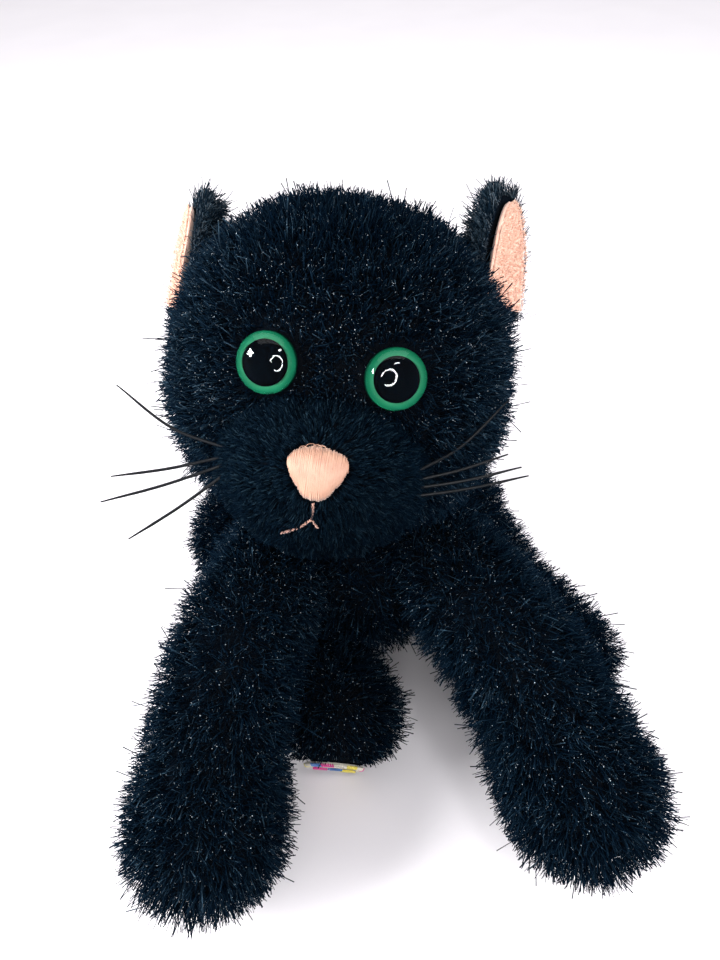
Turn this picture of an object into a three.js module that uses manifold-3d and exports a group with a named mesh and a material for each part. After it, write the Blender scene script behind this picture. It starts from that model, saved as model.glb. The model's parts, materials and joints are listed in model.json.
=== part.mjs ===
// A small black plush cat: pile-cloth covers, stuffing and pellets, with legs, head,
// ears and tail that turn on their seams. Millimetres, +Z up, the face looks to -Y.
// "left" and "right" are the cat's own sides: left is +X.
import * as THREE from 'three';
import { mergeVertices } from 'three/addons/utils/BufferGeometryUtils.js';
import Module from 'manifold-3d';

const wasm = await Module();
wasm.setup();

// ---------------------------------------------------------------- driving dimensions
const WALL = 2;               // cover: backing cloth with its pressed pile
const GAP = 0.4;              // clearance between pieces that lie on each other
const SWING_GAP = 0.9;        // clearance round a piece that turns on a seam
const EYE_RADIUS = 6;
const EYE_HEIGHT = 3.9;
const PUPIL_RADIUS = 3.9;
const PUPIL_RISE = 1.3;       // the pupil stands this far up into the lens
const WHISKER_RADIUS = 0.3;

const HEAD = {
  centre: [-3.4, 8, 76.5],
  pitch: 23,                  // face tipped up
  yaw: -4.5,                  // face turned to the cat's right
  roll: 7.5,                  // crown leaning to the cat's left
  radii: [35.5, 32, 34.5],
  squareness: 2.25,
  jowl: 0.035,                // share that the head widens by from its crown to its jowls
};
const MUZZLE = { centre: [0, -24, -14.6], radii: [21.3, 18.2, 18], wall: 1.5 };
const NECK = {
  centre: [-3, 10, 44],
  radius: 8.5,
  low: 33,
  high: 52,
  headHole: 12.5,             // radius of the opening in the head's cover
  headRoom: 11.5,             // and in the head's filling
  torsoHole: 11.5,            // radius of the opening in the torso's cover
  torsoRoom: 11,              // and in the torso's filling
};

const TORSO = {
  spine: [[-1, -11, 27.5], [-3, 8, 27.5], [-3, 27, 23.2]],
  radii: [18.5, 20.5, 24],
};

const LEGS = [
  {
    name: 'front_leg_right',
    path: [[-20, -14, 35.5], [-30, -38, 33], [-35, -58, 21.7], [-36.5, -70.5, 14.3]],
    radii: [11.6, 11.8, 12.3, 14.6],
    axis: [1, 0, 0],
    swing: [0, -20],
  },
  {
    name: 'front_leg_left',
    path: [[17.5, -14, 35.5], [31, -38, 33], [40.5, -56, 21.7], [45, -66.5, 14.8]],
    radii: [11.6, 11.8, 12.6, 15.2],
    axis: [1, 0, 0],
    swing: [0, -20],
  },
  {
    name: 'hind_leg_right',
    path: [[-31, 9, 19.5], [-23.5, -12, 12.3], [-14.5, -31, 11.6], [-8, -44.5, 12]],
    radii: [14.2, 10.8, 10.9, 12.6],
    axis: [0, 0, 1],
    swing: [-5, 6],
  },
  {
    name: 'hind_leg_left',
    path: [[25.5, 17, 17], [34.5, -3, 12], [43, -19, 10.8], [49.5, -30.5, 10.8]],
    radii: [12.5, 10.6, 10.2, 11],
    axis: [0, 0, 1],
    swing: [-3, 18],
  },
];
const TAIL = {
  path: [[-3, 50, 15.5], [-13, 61, 11.5], [-26, 66, 9.3], [-42, 63, 8.6]],
  radii: [8, 7.6, 7.2, 7.6],
  axis: [0, 0, 1],
  swing: [-12, 12],
};

const EAR = { width: 21, height: 25, back: 2.2, lining: 1.2, cup: 3.2 };
const EARS = {
  right: { base: [-40.2, 4.5, 8.5], facing: [-0.93, -0.36, 0.1], rise: [-0.12, 0.1, 1] },
  left: { base: [34.5, 4.5, 18], facing: [0.83, -0.55, 0.1], rise: [0.12, 0.1, 1] },
};
const EYE_PLACE = [12, 7.4];  // sideways and upwards from the head's centre
const POST_RADIUS = 1.6;      // post of a safety eye, held by a washer inside the head
const POST_LENGTH = 7;
const WASHER_RADIUS = 5;
const NOSE = { place: [0, -9], width: 11.6, height: 9.4, thickness: 1.3 };
const MOUTH_RADIUS = 0.45;
// where the tip of each whisker is, in the head's own frame
const WHISKER_ENDS = {
  right: [[-44, -24, -3], [-42, -33, -19.5], [-43, -36, -24], [-37, -37, -31]],
  left: [[36, -22, 4], [37, -27, -6], [40, -28, -8], [42, -27, -10]],
};

// flat sole of the right hind foot, where the patch is sewn on
const SOLE = { normal: [-0.12, -0.93, -0.36], reach: 10.9, patchRadius: 7.2, patchThickness: 0.9 };
const PELLET_POUCH = { centre: [-4, 24, 14.5], radii: [9, 9.5, 7.5], wall: 1 };
const LIMB_OPENING = 6.2;     // radius of the hole in a limb's cover, under its seam
const LABEL = { width: 9, thickness: 0.5, length: 14, outward: [0.52, 0.8, -0.3], sewnIn: 2 };

// ---------------------------------------------------------------- materials
function material(color, roughness, metalness = 0) {
  return new THREE.MeshStandardMaterial({ color, roughness, metalness });
}
const blackPile = material(0x0b0e13, 0.9);
const blackNap = material(0x0a0c10, 0.95);
const whiteFill = material(0xe8e6e0, 0.95);
const pelletPlastic = material(0xd9d9d4, 0.6);
const pouchCloth = material(0xd4d0c6, 0.9);
const peachNap = material(0xf0c4b0, 0.95);
const peachThread = material(0xf1bfa4, 0.7);
const clearPlastic = material(0xf4f7f8, 0.05);
const greenPaint = material(0x2fa56b, 0.35);
const blackPlastic = material(0x050506, 0.25);
const whitePlastic = material(0xeeeeea, 0.5);
const bristle = material(0x1b1c20, 0.4);
const patchCloth = material(0xe9e4d6, 0.85);
const labelCloth = material(0xf4f3ef, 0.8);

// ---------------------------------------------------------------- solids and booleans
function toSolid(geometry) {
  const plain = geometry.clone();
  plain.deleteAttribute('normal');
  plain.deleteAttribute('uv');
  const merged = mergeVertices(plain, 1e-4);
  const mesh = new wasm.Mesh({
    numProp: 3,
    vertProperties: new Float32Array(merged.attributes.position.array),
    triVerts: new Uint32Array(merged.index.array),
  });
  return new wasm.Manifold(mesh);
}

function toGeometry(solid) {
  const mesh = solid.getMesh();
  const geometry = new THREE.BufferGeometry();
  geometry.setAttribute('position', new THREE.BufferAttribute(mesh.vertProperties, 3));
  geometry.setIndex(new THREE.BufferAttribute(mesh.triVerts, 1));
  geometry.computeVertexNormals();
  return geometry;
}

function subtractAll(solid, cutters) {
  return cutters.reduce((rest, cutter) => rest.subtract(cutter), solid);
}

// the largest separate piece of a cut solid, so that no crumb is left behind
function largestPiece(solid) {
  const pieces = solid.decompose();
  return pieces.reduce((best, piece) => (piece.volume() > best.volume() ? piece : best));
}

// A closed skin over rings of points, with one pole point at each end.
function skinRings(startPole, rings, endPole) {
  const sides = rings[0].length;
  const points = [startPole, ...rings.flat(), endPole];
  const faces = [];
  const at = (ring, side) => 1 + ring * sides + (side % sides);
  for (let side = 0; side < sides; side += 1) {
    faces.push(0, at(0, side + 1), at(0, side));
    faces.push(points.length - 1, at(rings.length - 1, side), at(rings.length - 1, side + 1));
    for (let ring = 0; ring < rings.length - 1; ring += 1) {
      faces.push(at(ring, side), at(ring, side + 1), at(ring + 1, side));
      faces.push(at(ring, side + 1), at(ring + 1, side + 1), at(ring + 1, side));
    }
  }
  const geometry = new THREE.BufferGeometry();
  const numbers = points.flatMap((point) => point.toArray());
  geometry.setAttribute('position', new THREE.Float32BufferAttribute(numbers, 3));
  geometry.setIndex(faces);
  return outwards(geometry);
}

// turns every face over if the closed skin encloses a negative volume
function outwards(geometry) {
  const position = geometry.attributes.position;
  const index = geometry.index.array;
  const [a, b, c] = [new THREE.Vector3(), new THREE.Vector3(), new THREE.Vector3()];
  let volume = 0;
  for (let i = 0; i < index.length; i += 3) {
    a.fromBufferAttribute(position, index[i]);
    b.fromBufferAttribute(position, index[i + 1]);
    c.fromBufferAttribute(position, index[i + 2]);
    volume += a.dot(b.cross(c));
  }
  if (volume < 0) {
    for (let i = 0; i < index.length; i += 3) {
      [index[i], index[i + 1]] = [index[i + 1], index[i]];
    }
  }
  return geometry;
}

// A rounded, slightly boxy ball, wider towards the jowls when asked.
function puffBall({ radii, squareness = 2, jowl = 0, centre = [0, 0, 0] }, grow, around, upright) {
  const place = (polar, azimuth) => {
    const unit = new THREE.Vector3(
      Math.sin(polar) * Math.cos(azimuth),
      Math.sin(polar) * Math.sin(azimuth),
      Math.cos(polar),
    );
    const power = Math.abs(unit.x) ** squareness + Math.abs(unit.y) ** squareness
      + Math.abs(unit.z) ** squareness;
    unit.multiplyScalar(power ** (-1 / squareness));
    const widen = 1 - jowl * unit.z;
    return new THREE.Vector3(
      centre[0] + (radii[0] + grow) * unit.x * widen,
      centre[1] + (radii[1] + grow) * unit.y,
      centre[2] + (radii[2] + grow) * unit.z,
    );
  };
  const rings = [];
  for (let row = 1; row < upright; row += 1) {
    const polar = (Math.PI * row) / upright;
    rings.push(Array.from({ length: around }, (_, i) => place(polar, (2 * Math.PI * i) / around)));
  }
  return skinRings(place(0, 0), rings, place(Math.PI, 0));
}

// A stuffed limb: round sections along a smooth path, with round ends.
function limbGeometry(path, radii, grow, sides, stations, capSteps = 3) {
  const knots = path.map((point) => new THREE.Vector3(...point));
  const curve = new THREE.CatmullRomCurve3(knots, false, 'centripetal');
  const length = curve.getLength();
  const last = radii.length - 1;
  const radiusAt = (share) => {
    const step = Math.min(Math.floor(share * last), last - 1);
    const within = THREE.MathUtils.smoothstep(share * last - step, 0, 1);
    return THREE.MathUtils.lerp(radii[step], radii[step + 1], within) + grow;
  };
  const startRadius = radiusAt(0);
  const endRadius = radiusAt(1);
  const side = new THREE.Vector3();
  const up = new THREE.Vector3();
  const ring = (along, radius) => {
    const share = THREE.MathUtils.clamp(along / length, 0, 1);
    const tangent = curve.getTangentAt(share);
    const centre = curve.getPointAt(share).addScaledVector(tangent, along - share * length);
    side.crossVectors(tangent, new THREE.Vector3(0, 0, 1)).normalize();
    up.crossVectors(side, tangent);
    if (radius === 0) {
      return centre;
    }
    return Array.from({ length: sides }, (_, i) => {
      const angle = (2 * Math.PI * i) / sides;
      return centre.clone()
        .addScaledVector(side, radius * Math.cos(angle))
        .addScaledVector(up, radius * Math.sin(angle));
    });
  };
  const rings = [];
  for (let i = 1; i <= capSteps; i += 1) {
    const angle = (i * Math.PI) / 2 / capSteps;
    rings.push(ring(-startRadius * Math.cos(angle), startRadius * Math.sin(angle)));
  }
  for (let i = 1; i < stations; i += 1) {
    rings.push(ring((length * i) / stations, radiusAt(i / stations)));
  }
  for (let i = capSteps; i >= 1; i -= 1) {
    const angle = (i * Math.PI) / 2 / capSteps;
    rings.push(ring(length + endRadius * Math.cos(angle), endRadius * Math.sin(angle)));
  }
  return skinRings(ring(-startRadius, 0), rings, ring(length + endRadius, 0));
}

function cylinderBetween(from, to, radius, sides = 20) {
  const start = new THREE.Vector3(...from);
  const end = new THREE.Vector3(...to);
  const axis = end.clone().sub(start);
  const geometry = new THREE.CylinderGeometry(radius, radius, axis.length(), sides);
  const own = new THREE.Vector3(0, 1, 0);
  geometry.applyQuaternion(new THREE.Quaternion().setFromUnitVectors(own, axis.normalize()));
  const middle = start.add(end).multiplyScalar(0.5);
  geometry.translate(middle.x, middle.y, middle.z);
  return geometry;
}

function tubeGeometry(points, radius, sides, steps) {
  const curve = new THREE.CatmullRomCurve3(points, false, 'centripetal');
  const section = new THREE.Shape();
  section.absarc(0, 0, radius, 0, 2 * Math.PI);
  return new THREE.ExtrudeGeometry(section, {
    steps,
    curveSegments: sides / 2,          // an arc is split into twice this many
    extrudePath: curve,
    bevelEnabled: false,
  });
}

function latheSolid(profile, segments) {
  const geometry = new THREE.LatheGeometry(profile.map(([r, h]) => new THREE.Vector2(r, h)), segments);
  geometry.rotateX(Math.PI / 2);       // the lathe's own axis becomes +Z
  return toSolid(geometry);
}

// everything below the surface that the toy stands on
const floorBlock = toSolid(new THREE.BoxGeometry(400, 400, 60).translate(0, 0, -30));

function turnedAbout(geometry, pivot, axis, degrees) {
  const turned = geometry.clone();
  turned.translate(-pivot[0], -pivot[1], -pivot[2]);
  turned.applyQuaternion(new THREE.Quaternion().setFromAxisAngle(
    new THREE.Vector3(...axis),
    THREE.MathUtils.degToRad(degrees),
  ));
  turned.translate(...pivot);
  return turned;
}

// ---------------------------------------------------------------- the assembly
const toy = new THREE.Group();

function addMesh(parent, name, shape, mat) {
  const geometry = shape.isBufferGeometry ? shape : toGeometry(shape);
  const mesh = new THREE.Mesh(geometry, mat);
  mesh.name = name;
  parent.add(mesh);
  return mesh;
}

const headGroup = new THREE.Group();
headGroup.position.set(...HEAD.centre);
headGroup.rotation.set(
  -THREE.MathUtils.degToRad(HEAD.pitch),
  THREE.MathUtils.degToRad(HEAD.roll),
  THREE.MathUtils.degToRad(HEAD.yaw),
  'ZXY',
);
headGroup.updateMatrixWorld(true);
toy.add(headGroup);
const toHead = headGroup.matrixWorld.clone().invert();

const headShape = { radii: HEAD.radii, squareness: HEAD.squareness, jowl: HEAD.jowl };
const headSolid = (grow, around, upright) => toSolid(puffBall(headShape, grow, around, upright));
const muzzleSolid = (grow, around, upright) => toSolid(puffBall(MUZZLE, grow, around, upright));

// point and outward direction on the head's cover, found along a line parallel to Y
function onHeadFront(x, z, shape, grow) {
  const centre = shape.centre ?? [0, 0, 0];
  const [rx, ry, rz] = shape.radii.map((r) => r + grow);
  const power = shape.squareness ?? 2;
  const dx = (x - centre[0]) / rx;
  const dz = (z - centre[2]) / rz;
  const dy = -((1 - Math.abs(dx) ** power - Math.abs(dz) ** power) ** (1 / power));
  const slope = (d) => Math.sign(d) * Math.abs(d) ** (power - 1);
  return {
    point: new THREE.Vector3(x, centre[1] + dy * ry, z),
    normal: new THREE.Vector3(slope(dx) / rx, slope(dy) / ry, slope(dz) / rz).normalize(),
  };
}

// ---------------------------------------------------------------- head: cover and filling
// an upright cylinder about the neck's line
function neckCylinder(radius, low, high) {
  const [x, y] = NECK.centre;
  return cylinderBetween([x, y, low], [x, y, high], radius);
}

// the neck's room in the head, from well under the head up past the neck's top
function neckInHead(radius, above) {
  const under = 20;
  return toSolid(neckCylinder(radius, under, NECK.high + above).applyMatrix4(toHead));
}

const eyeFrames = [-1, 1].map((side) => {
  const { point, normal } = onHeadFront(side * EYE_PLACE[0], EYE_PLACE[1], headShape, 0);
  return { side, point, normal };
});

// a cylinder about an eye's post, from one distance off the head's outline to another
function eyeBore(frame, radius, from, to) {
  const inside = frame.point.clone().addScaledVector(frame.normal, from);
  const outside = frame.point.clone().addScaledVector(frame.normal, to);
  return toSolid(cylinderBetween(inside.toArray(), outside.toArray(), radius, 14));
}

const postHole = (frame) => eyeBore(frame, POST_RADIUS + 0.5, -12, 6);
const washerRoom = (frame) => eyeBore(frame, WASHER_RADIUS + 1, -POST_LENGTH - 2, -WALL + 0.5);

function addHeadCover() {
  const shell = headSolid(0, 22, 14).subtract(headSolid(-WALL, 14, 9));
  const cover = subtractAll(shell, [
    muzzleSolid(-MUZZLE.wall - GAP, 14, 9),
    neckInHead(NECK.headHole, 4),
    ...eyeFrames.map(postHole),
  ]);
  addMesh(headGroup, 'head_cover', largestPiece(cover), blackPile);
}

function addHeadStuffing() {
  const filling = headSolid(-WALL - GAP, 14, 9).add(muzzleSolid(-MUZZLE.wall - 2 * GAP, 14, 9));
  const cut = subtractAll(filling, [
    neckInHead(NECK.headRoom, 3),
    ...eyeFrames.map(washerRoom),
  ]);
  addMesh(headGroup, 'head_stuffing', largestPiece(cut), whiteFill);
}

function addMuzzlePanel() {
  const dome = muzzleSolid(0, 22, 14).subtract(muzzleSolid(-MUZZLE.wall, 16, 10));
  const panel = dome.subtract(headSolid(GAP, 22, 14));
  addMesh(headGroup, 'muzzle_panel', largestPiece(panel), blackNap);
}

// ---------------------------------------------------------------- nose and mouth
function noseOutline() {
  const half = NOSE.width / 2;
  const top = NOSE.height * 0.42;
  const foot = -NOSE.height * 0.58;
  const outline = new THREE.Shape();
  outline.moveTo(0, top);
  outline.bezierCurveTo(half * 0.75, top, half, top * 0.75, half, top * 0.1);
  outline.bezierCurveTo(half, foot * 0.55, half * 0.5, foot * 0.8, half * 0.25, foot);
  outline.lineTo(-half * 0.25, foot);
  outline.bezierCurveTo(-half * 0.5, foot * 0.8, -half, foot * 0.55, -half, top * 0.1);
  outline.bezierCurveTo(-half, top * 0.75, -half * 0.75, top, 0, top);
  return outline;
}

function addNose() {
  const options = { depth: 30, curveSegments: 5, bevelEnabled: false };
  const prism = new THREE.ExtrudeGeometry(noseOutline(), options);
  prism.rotateX(Math.PI / 2);          // the outline stands upright, facing -Y
  prism.translate(NOSE.place[0], MUZZLE.centre[1] - 5, NOSE.place[1]);
  const skin = muzzleSolid(GAP + NOSE.thickness, 28, 20).subtract(muzzleSolid(GAP, 28, 20));
  addMesh(headGroup, 'nose_embroidery', largestPiece(skin.intersect(toSolid(prism))), peachThread);
}

function onMuzzle(x, z, lift) {
  return onHeadFront(x, z, MUZZLE, lift).point;
}

// the tubes lie a hair outside the muzzle, each as [across, up] from the nose's foot
function addMouth() {
  const radius = MOUTH_RADIUS;
  const lift = GAP + radius + 0.15;
  const foot = NOSE.place[1] - NOSE.height * 0.58;
  const middle = NOSE.place[0];
  const stroke = (steps) => steps.map(([x, z]) => onMuzzle(middle + x, foot + z, lift));
  const down = tubeGeometry(stroke([[0, -0.8], [0, -2.4], [0, -4.3]]), radius, 8, 3);
  const rightPath = stroke([[0.1, -4], [-1.8, -6], [-4, -7.8], [-5.8, -9.1]]);
  const rightBranch = tubeGeometry(rightPath, radius, 8, 6);
  const leftBranch = tubeGeometry(stroke([[-0.1, -4], [0.6, -5], [1.3, -6]]), radius, 8, 3);
  const thread = toSolid(down).add(toSolid(rightBranch)).add(toSolid(leftBranch));
  addMesh(headGroup, 'mouth_thread', thread, peachThread);
}

// ---------------------------------------------------------------- eyes
function addEye(frame) {
  const sideName = frame.side < 0 ? 'right' : 'left';
  const eye = new THREE.Group();
  eye.position.copy(frame.point);
  eye.quaternion.setFromUnitVectors(new THREE.Vector3(0, 0, 1), frame.normal);
  headGroup.add(eye);
  const seat = 0.7;                    // the eye's back stands this far off the cloth
  const disc = 0.5;                    // thickness of the painted ring
  const sides = 20;
  const domeBase = seat + disc + 0.2;
  const gap = 0.1;                     // between the pupil and its hollow in the lens
  const hollowTop = domeBase + PUPIL_RISE + gap;
  const dome = [
    [0, hollowTop], [PUPIL_RADIUS + gap, hollowTop], [PUPIL_RADIUS + gap, domeBase],
    [EYE_RADIUS, domeBase],
  ];
  const rim = 0.5;                     // upright edge of the lens
  const steps = 6;
  for (let i = 1; i <= steps; i += 1) {
    const angle = (i * Math.PI) / 2 / steps;
    const height = rim + (EYE_HEIGHT - rim) * Math.sin(angle);
    dome.push([EYE_RADIUS * Math.cos(angle), domeBase + height]);
  }
  dome[dome.length - 1][0] = 0;
  addMesh(eye, `eye_lens_${sideName}`, latheSolid(dome, sides), clearPlastic);
  const ringInside = PUPIL_RADIUS + 0.2;
  const ringOutside = EYE_RADIUS - 0.05;
  const iris = [
    [ringInside, seat], [ringOutside, seat],
    [ringOutside, seat + disc], [ringInside, seat + disc],
    [ringInside, seat],
  ];
  addMesh(eye, `eye_iris_${sideName}`, latheSolid(iris, sides), greenPaint);
  const pupil = [
    [0, -POST_LENGTH], [POST_RADIUS - 0.4, -POST_LENGTH], [POST_RADIUS, -POST_LENGTH + 0.6],
    [POST_RADIUS, seat], [PUPIL_RADIUS, seat],
    [PUPIL_RADIUS, domeBase + PUPIL_RISE], [0, domeBase + PUPIL_RISE],
  ];
  addMesh(eye, `eye_pupil_and_post_${sideName}`, latheSolid(pupil, 16), blackPlastic);
  const bore = POST_RADIUS + 0.3;
  const washer = [
    [bore, -5], [WASHER_RADIUS, -5], [WASHER_RADIUS, -4.3], [3, -3.8], [bore, -3.8], [bore, -5],
  ];
  addMesh(eye, `eye_washer_${sideName}`, latheSolid(washer, 14), whitePlastic);
}

// ---------------------------------------------------------------- whiskers
// rooted one under another at the muzzle's edge, each running to its own tip
function addWhiskers(sideName, side) {
  WHISKER_ENDS[sideName].forEach((tip, i) => {
    const row = i - 1.5;
    const across = MUZZLE.radii[0] * 0.9 - 0.4 * Math.abs(row);
    const root = onMuzzle(side * across, MUZZLE.centre[2] + 1.5 - 1.6 * row, 0);
    const end = new THREE.Vector3(...tip);
    const start = root.clone().addScaledVector(end.clone().sub(root).normalize(), 1.2);
    start.x += side * 0.6;
    const middle = start.clone().lerp(end, 0.5);
    middle.z += i === 0 ? -2.4 : -0.5;
    const tube = tubeGeometry([start, middle, end], WHISKER_RADIUS, 6, 6);
    addMesh(headGroup, `whisker_${sideName}_${i + 1}`, tube, bristle);
  });
}

// ---------------------------------------------------------------- ears
// A cupped leaf: rounded top, straight foot, thickness along its own +Z.
function leafGeometry(width, height, thickness, cup, lift) {
  const rows = 7;
  const columns = 6;
  const halfWidth = (v) => (width / 2) * (1 - 0.18 * v) * Math.sqrt(Math.max(0, 1 - v ** 3.2));
  const place = (i, j, top) => {
    const v = 0.985 * (j / rows);
    const u = (2 * i) / columns - 1;
    const x = u * halfWidth(v);
    const bend = -cup * (1 - (x / (width / 2)) ** 2) * (1 - 0.4 * v);
    return new THREE.Vector3(x, v * height, bend + lift + (top ? thickness : 0));
  };
  const points = [];
  const faces = [];
  const stride = columns + 1;
  const sheet = stride * (rows + 1);
  for (const top of [false, true]) {
    for (let j = 0; j <= rows; j += 1) {
      for (let i = 0; i <= columns; i += 1) {
        points.push(...place(i, j, top).toArray());
      }
    }
  }
  const quad = (a, b, c, d) => faces.push(a, b, c, a, c, d);
  for (let j = 0; j < rows; j += 1) {
    for (let i = 0; i < columns; i += 1) {
      const a = j * stride + i;
      quad(a, a + stride, a + stride + 1, a + 1);
      quad(sheet + a, sheet + a + 1, sheet + a + stride + 1, sheet + a + stride);
    }
    const left = j * stride;
    const right = left + columns;
    quad(left, left + sheet, left + stride + sheet, left + stride);
    quad(right, right + stride, right + stride + sheet, right + sheet);
  }
  for (let i = 0; i < columns; i += 1) {
    const tip = rows * stride + i;
    quad(i, i + 1, i + 1 + sheet, i + sheet);
    quad(tip, tip + sheet, tip + 1 + sheet, tip + 1);
  }
  const geometry = new THREE.BufferGeometry();
  geometry.setAttribute('position', new THREE.Float32BufferAttribute(points, 3));
  geometry.setIndex(faces);
  return outwards(geometry);
}

function addEar(sideName) {
  const ear = new THREE.Group();
  ear.position.set(...EARS[sideName].base);
  const facing = new THREE.Vector3(...EARS[sideName].facing).normalize();
  const rise = new THREE.Vector3(...EARS[sideName].rise).normalize();
  const along = new THREE.Vector3().crossVectors(rise, facing).normalize();
  rise.crossVectors(facing, along);
  ear.quaternion.setFromRotationMatrix(new THREE.Matrix4().makeBasis(along, rise, facing));
  headGroup.add(ear);
  ear.updateMatrix();
  const toEar = ear.matrix.clone().invert();
  const away = toSolid(puffBall(headShape, SWING_GAP, 18, 12).applyMatrix4(toEar));
  const back = toSolid(leafGeometry(EAR.width, EAR.height, EAR.back, EAR.cup, -EAR.back));
  const liningLeaf = leafGeometry(EAR.width - 2.4, EAR.height - 1.6, EAR.lining, EAR.cup, 0.35);
  const lining = toSolid(liningLeaf);
  addMesh(ear, `ear_back_${sideName}`, largestPiece(back.subtract(away)), blackPile);
  addMesh(ear, `ear_lining_${sideName}`, largestPiece(lining.subtract(away)), peachNap);
}

// ---------------------------------------------------------------- legs and tail
// Coarse solids that hold a limb at each of some swing angles. Their flats lie inside the round
// sections that they stand for, so they are a little larger.
function sweptRoom(limb, grow, swings) {
  const flats = 1;
  const shape = limbGeometry(limb.path, limb.radii, grow + flats, 8, 3, 2);
  return swings.map((degrees) => toSolid(turnedAbout(shape, limb.path[0], limb.axis, degrees)));
}

function soleFrame(limb) {
  const normal = new THREE.Vector3(...SOLE.normal).normalize();
  const centre = new THREE.Vector3(...limb.path[limb.path.length - 1]).addScaledVector(normal, SOLE.reach);
  return { normal, centre };
}

// a round block, wider than any limb, that cuts off whatever lies past a plane
function cuttingBlock(start, direction) {
  const [width, depth] = [30, 30];
  const end = start.clone().addScaledVector(direction, depth);
  return toSolid(cylinderBetween(start.toArray(), end.toArray(), width, 12));
}

function soleBlock(limb, back) {
  const { normal, centre } = soleFrame(limb);
  return cuttingBlock(centre.clone().addScaledVector(normal, -back), normal);
}

// split a limb's filling into stuffing above and pellets in the paw
function pawBlock(limb, share) {
  const paw = new THREE.Vector3(...limb.path[limb.path.length - 1]);
  const before = new THREE.Vector3(...limb.path[limb.path.length - 2]);
  const outwardsAlong = paw.clone().sub(before);
  const start = before.clone().lerp(paw, share);
  return cuttingBlock(start, outwardsAlong.normalize());
}

function addLimb(limb, pelletPlace) {
  const root = limb.path[0];
  const group = new THREE.Group();
  group.position.set(...root);
  toy.add(group);
  const local = (solid) => solid.translate([-root[0], -root[1], -root[2]]);
  const hasSole = limb.name === 'hind_leg_right';
  const trims = hasSole ? [floorBlock, soleBlock(limb, 0)] : [floorBlock];
  const outer = subtractAll(toSolid(limbGeometry(limb.path, limb.radii, 0, 14, 8)), trims);
  const innerTrims = [
    floorBlock.translate([0, 0, WALL]),
    ...(hasSole ? [soleBlock(limb, WALL)] : []),
  ];
  const inner = subtractAll(toSolid(limbGeometry(limb.path, limb.radii, -WALL, 10, 6)), innerTrims);
  const start = new THREE.Vector3(...root);
  const inwards = new THREE.Vector3(...TORSO.spine[1]).sub(start).setLength(30);
  const opening = toSolid(cylinderBetween(root, start.add(inwards).toArray(), LIMB_OPENING, 14));
  const cover = largestPiece(outer.subtract(inner).subtract(opening));
  addMesh(group, `${limb.name}_cover`, local(cover), blackPile);
  const filling = subtractAll(
    toSolid(limbGeometry(limb.path, limb.radii, -WALL - GAP, 10, 6)),
    [floorBlock.translate([0, 0, WALL + GAP]), ...(hasSole ? [soleBlock(limb, WALL + GAP)] : [])],
  );
  if (pelletPlace === null) {
    addMesh(group, `${limb.name}_stuffing`, local(largestPiece(filling)), whiteFill);
    return;
  }
  const apart = 0.04;                  // share of the path between the stuffing and the pellets
  const stuffing = filling.subtract(pawBlock(limb, pelletPlace - apart));
  const pellets = filling.intersect(pawBlock(limb, pelletPlace));
  addMesh(group, `${limb.name}_stuffing`, local(largestPiece(stuffing)), whiteFill);
  addMesh(group, `${limb.name}_pellets`, local(largestPiece(pellets)), pelletPlastic);
}

function addSolePatch(limb) {
  const { normal, centre } = soleFrame(limb);
  const group = new THREE.Group();
  group.position.copy(centre);
  group.quaternion.setFromUnitVectors(new THREE.Vector3(0, 0, 1), normal);
  toy.add(group);
  const low = 0.3;
  const top = low + SOLE.patchThickness;
  const edge = SOLE.patchRadius;
  const disc = [[0, low], [edge, low], [edge, top - 0.3], [edge - 0.4, top], [0, top]];
  addMesh(group, 'sole_patch', latheSolid(disc, 28), patchCloth);
  const motifs = [
    { name: 'pink', at: [-2.9, 1.6], radius: 1.7, colour: 0xd8348a },
    { name: 'blue', at: [1.1, 2.6], radius: 1.4, colour: 0x2f6fb6 },
    { name: 'yellow', at: [3.1, -1.6], radius: 1.8, colour: 0xe8d84a },
  ];
  for (const motif of motifs) {
    const lift = top + 0.25;
    const edgeInside = motif.radius * 0.9;
    const dot = [[0, lift], [motif.radius, lift], [edgeInside, lift + 0.35], [0, lift + 0.5]];
    const thread = material(motif.colour, 0.7);
    const mesh = addMesh(group, `sole_motif_${motif.name}`, latheSolid(dot, 16), thread);
    mesh.position.set(...motif.at, 0);
  }
}

// ---------------------------------------------------------------- torso
// the dish under the head, wide enough for it to nod and turn in
function headRoom(grow) {
  const nod = [2.4, 4, 1.3];
  const shape = { ...headShape, radii: HEAD.radii.map((radius, i) => radius + nod[i]) };
  return toSolid(puffBall(shape, grow, 18, 12).applyMatrix4(headGroup.matrixWorld));
}

// room in the torso's outside for the head and for the limbs through their whole swing
function outerRoom(grow) {
  return [headRoom(grow), ...[...LEGS, TAIL].flatMap((limb) => sweptRoom(limb, grow, limb.swing))];
}

// the same room inside, where the middle of each swing with some more width will do
function innerRoom(grow) {
  const extra = 1.2;
  const middle = (limb) => (limb.swing[0] + limb.swing[1]) / 2;
  return [
    headRoom(grow),
    ...[...LEGS, TAIL].flatMap((limb) => sweptRoom(limb, grow + extra, [middle(limb)])),
  ];
}

// the neck's room in the torso, from a little under the neck's foot up past its top
function neckInTorso(radius, below) {
  return toSolid(neckCylinder(radius, NECK.low - below, NECK.high + 10));
}

// no stuffing lies between the pouch and the bottom of the torso
const [pouchX, pouchY, pouchZ] = PELLET_POUCH.centre;
const underPouch = toSolid(cylinderBetween(
  [pouchX, pouchY, -5],
  [pouchX, pouchY, pouchZ],
  PELLET_POUCH.radii[0],
  14,
));

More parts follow.
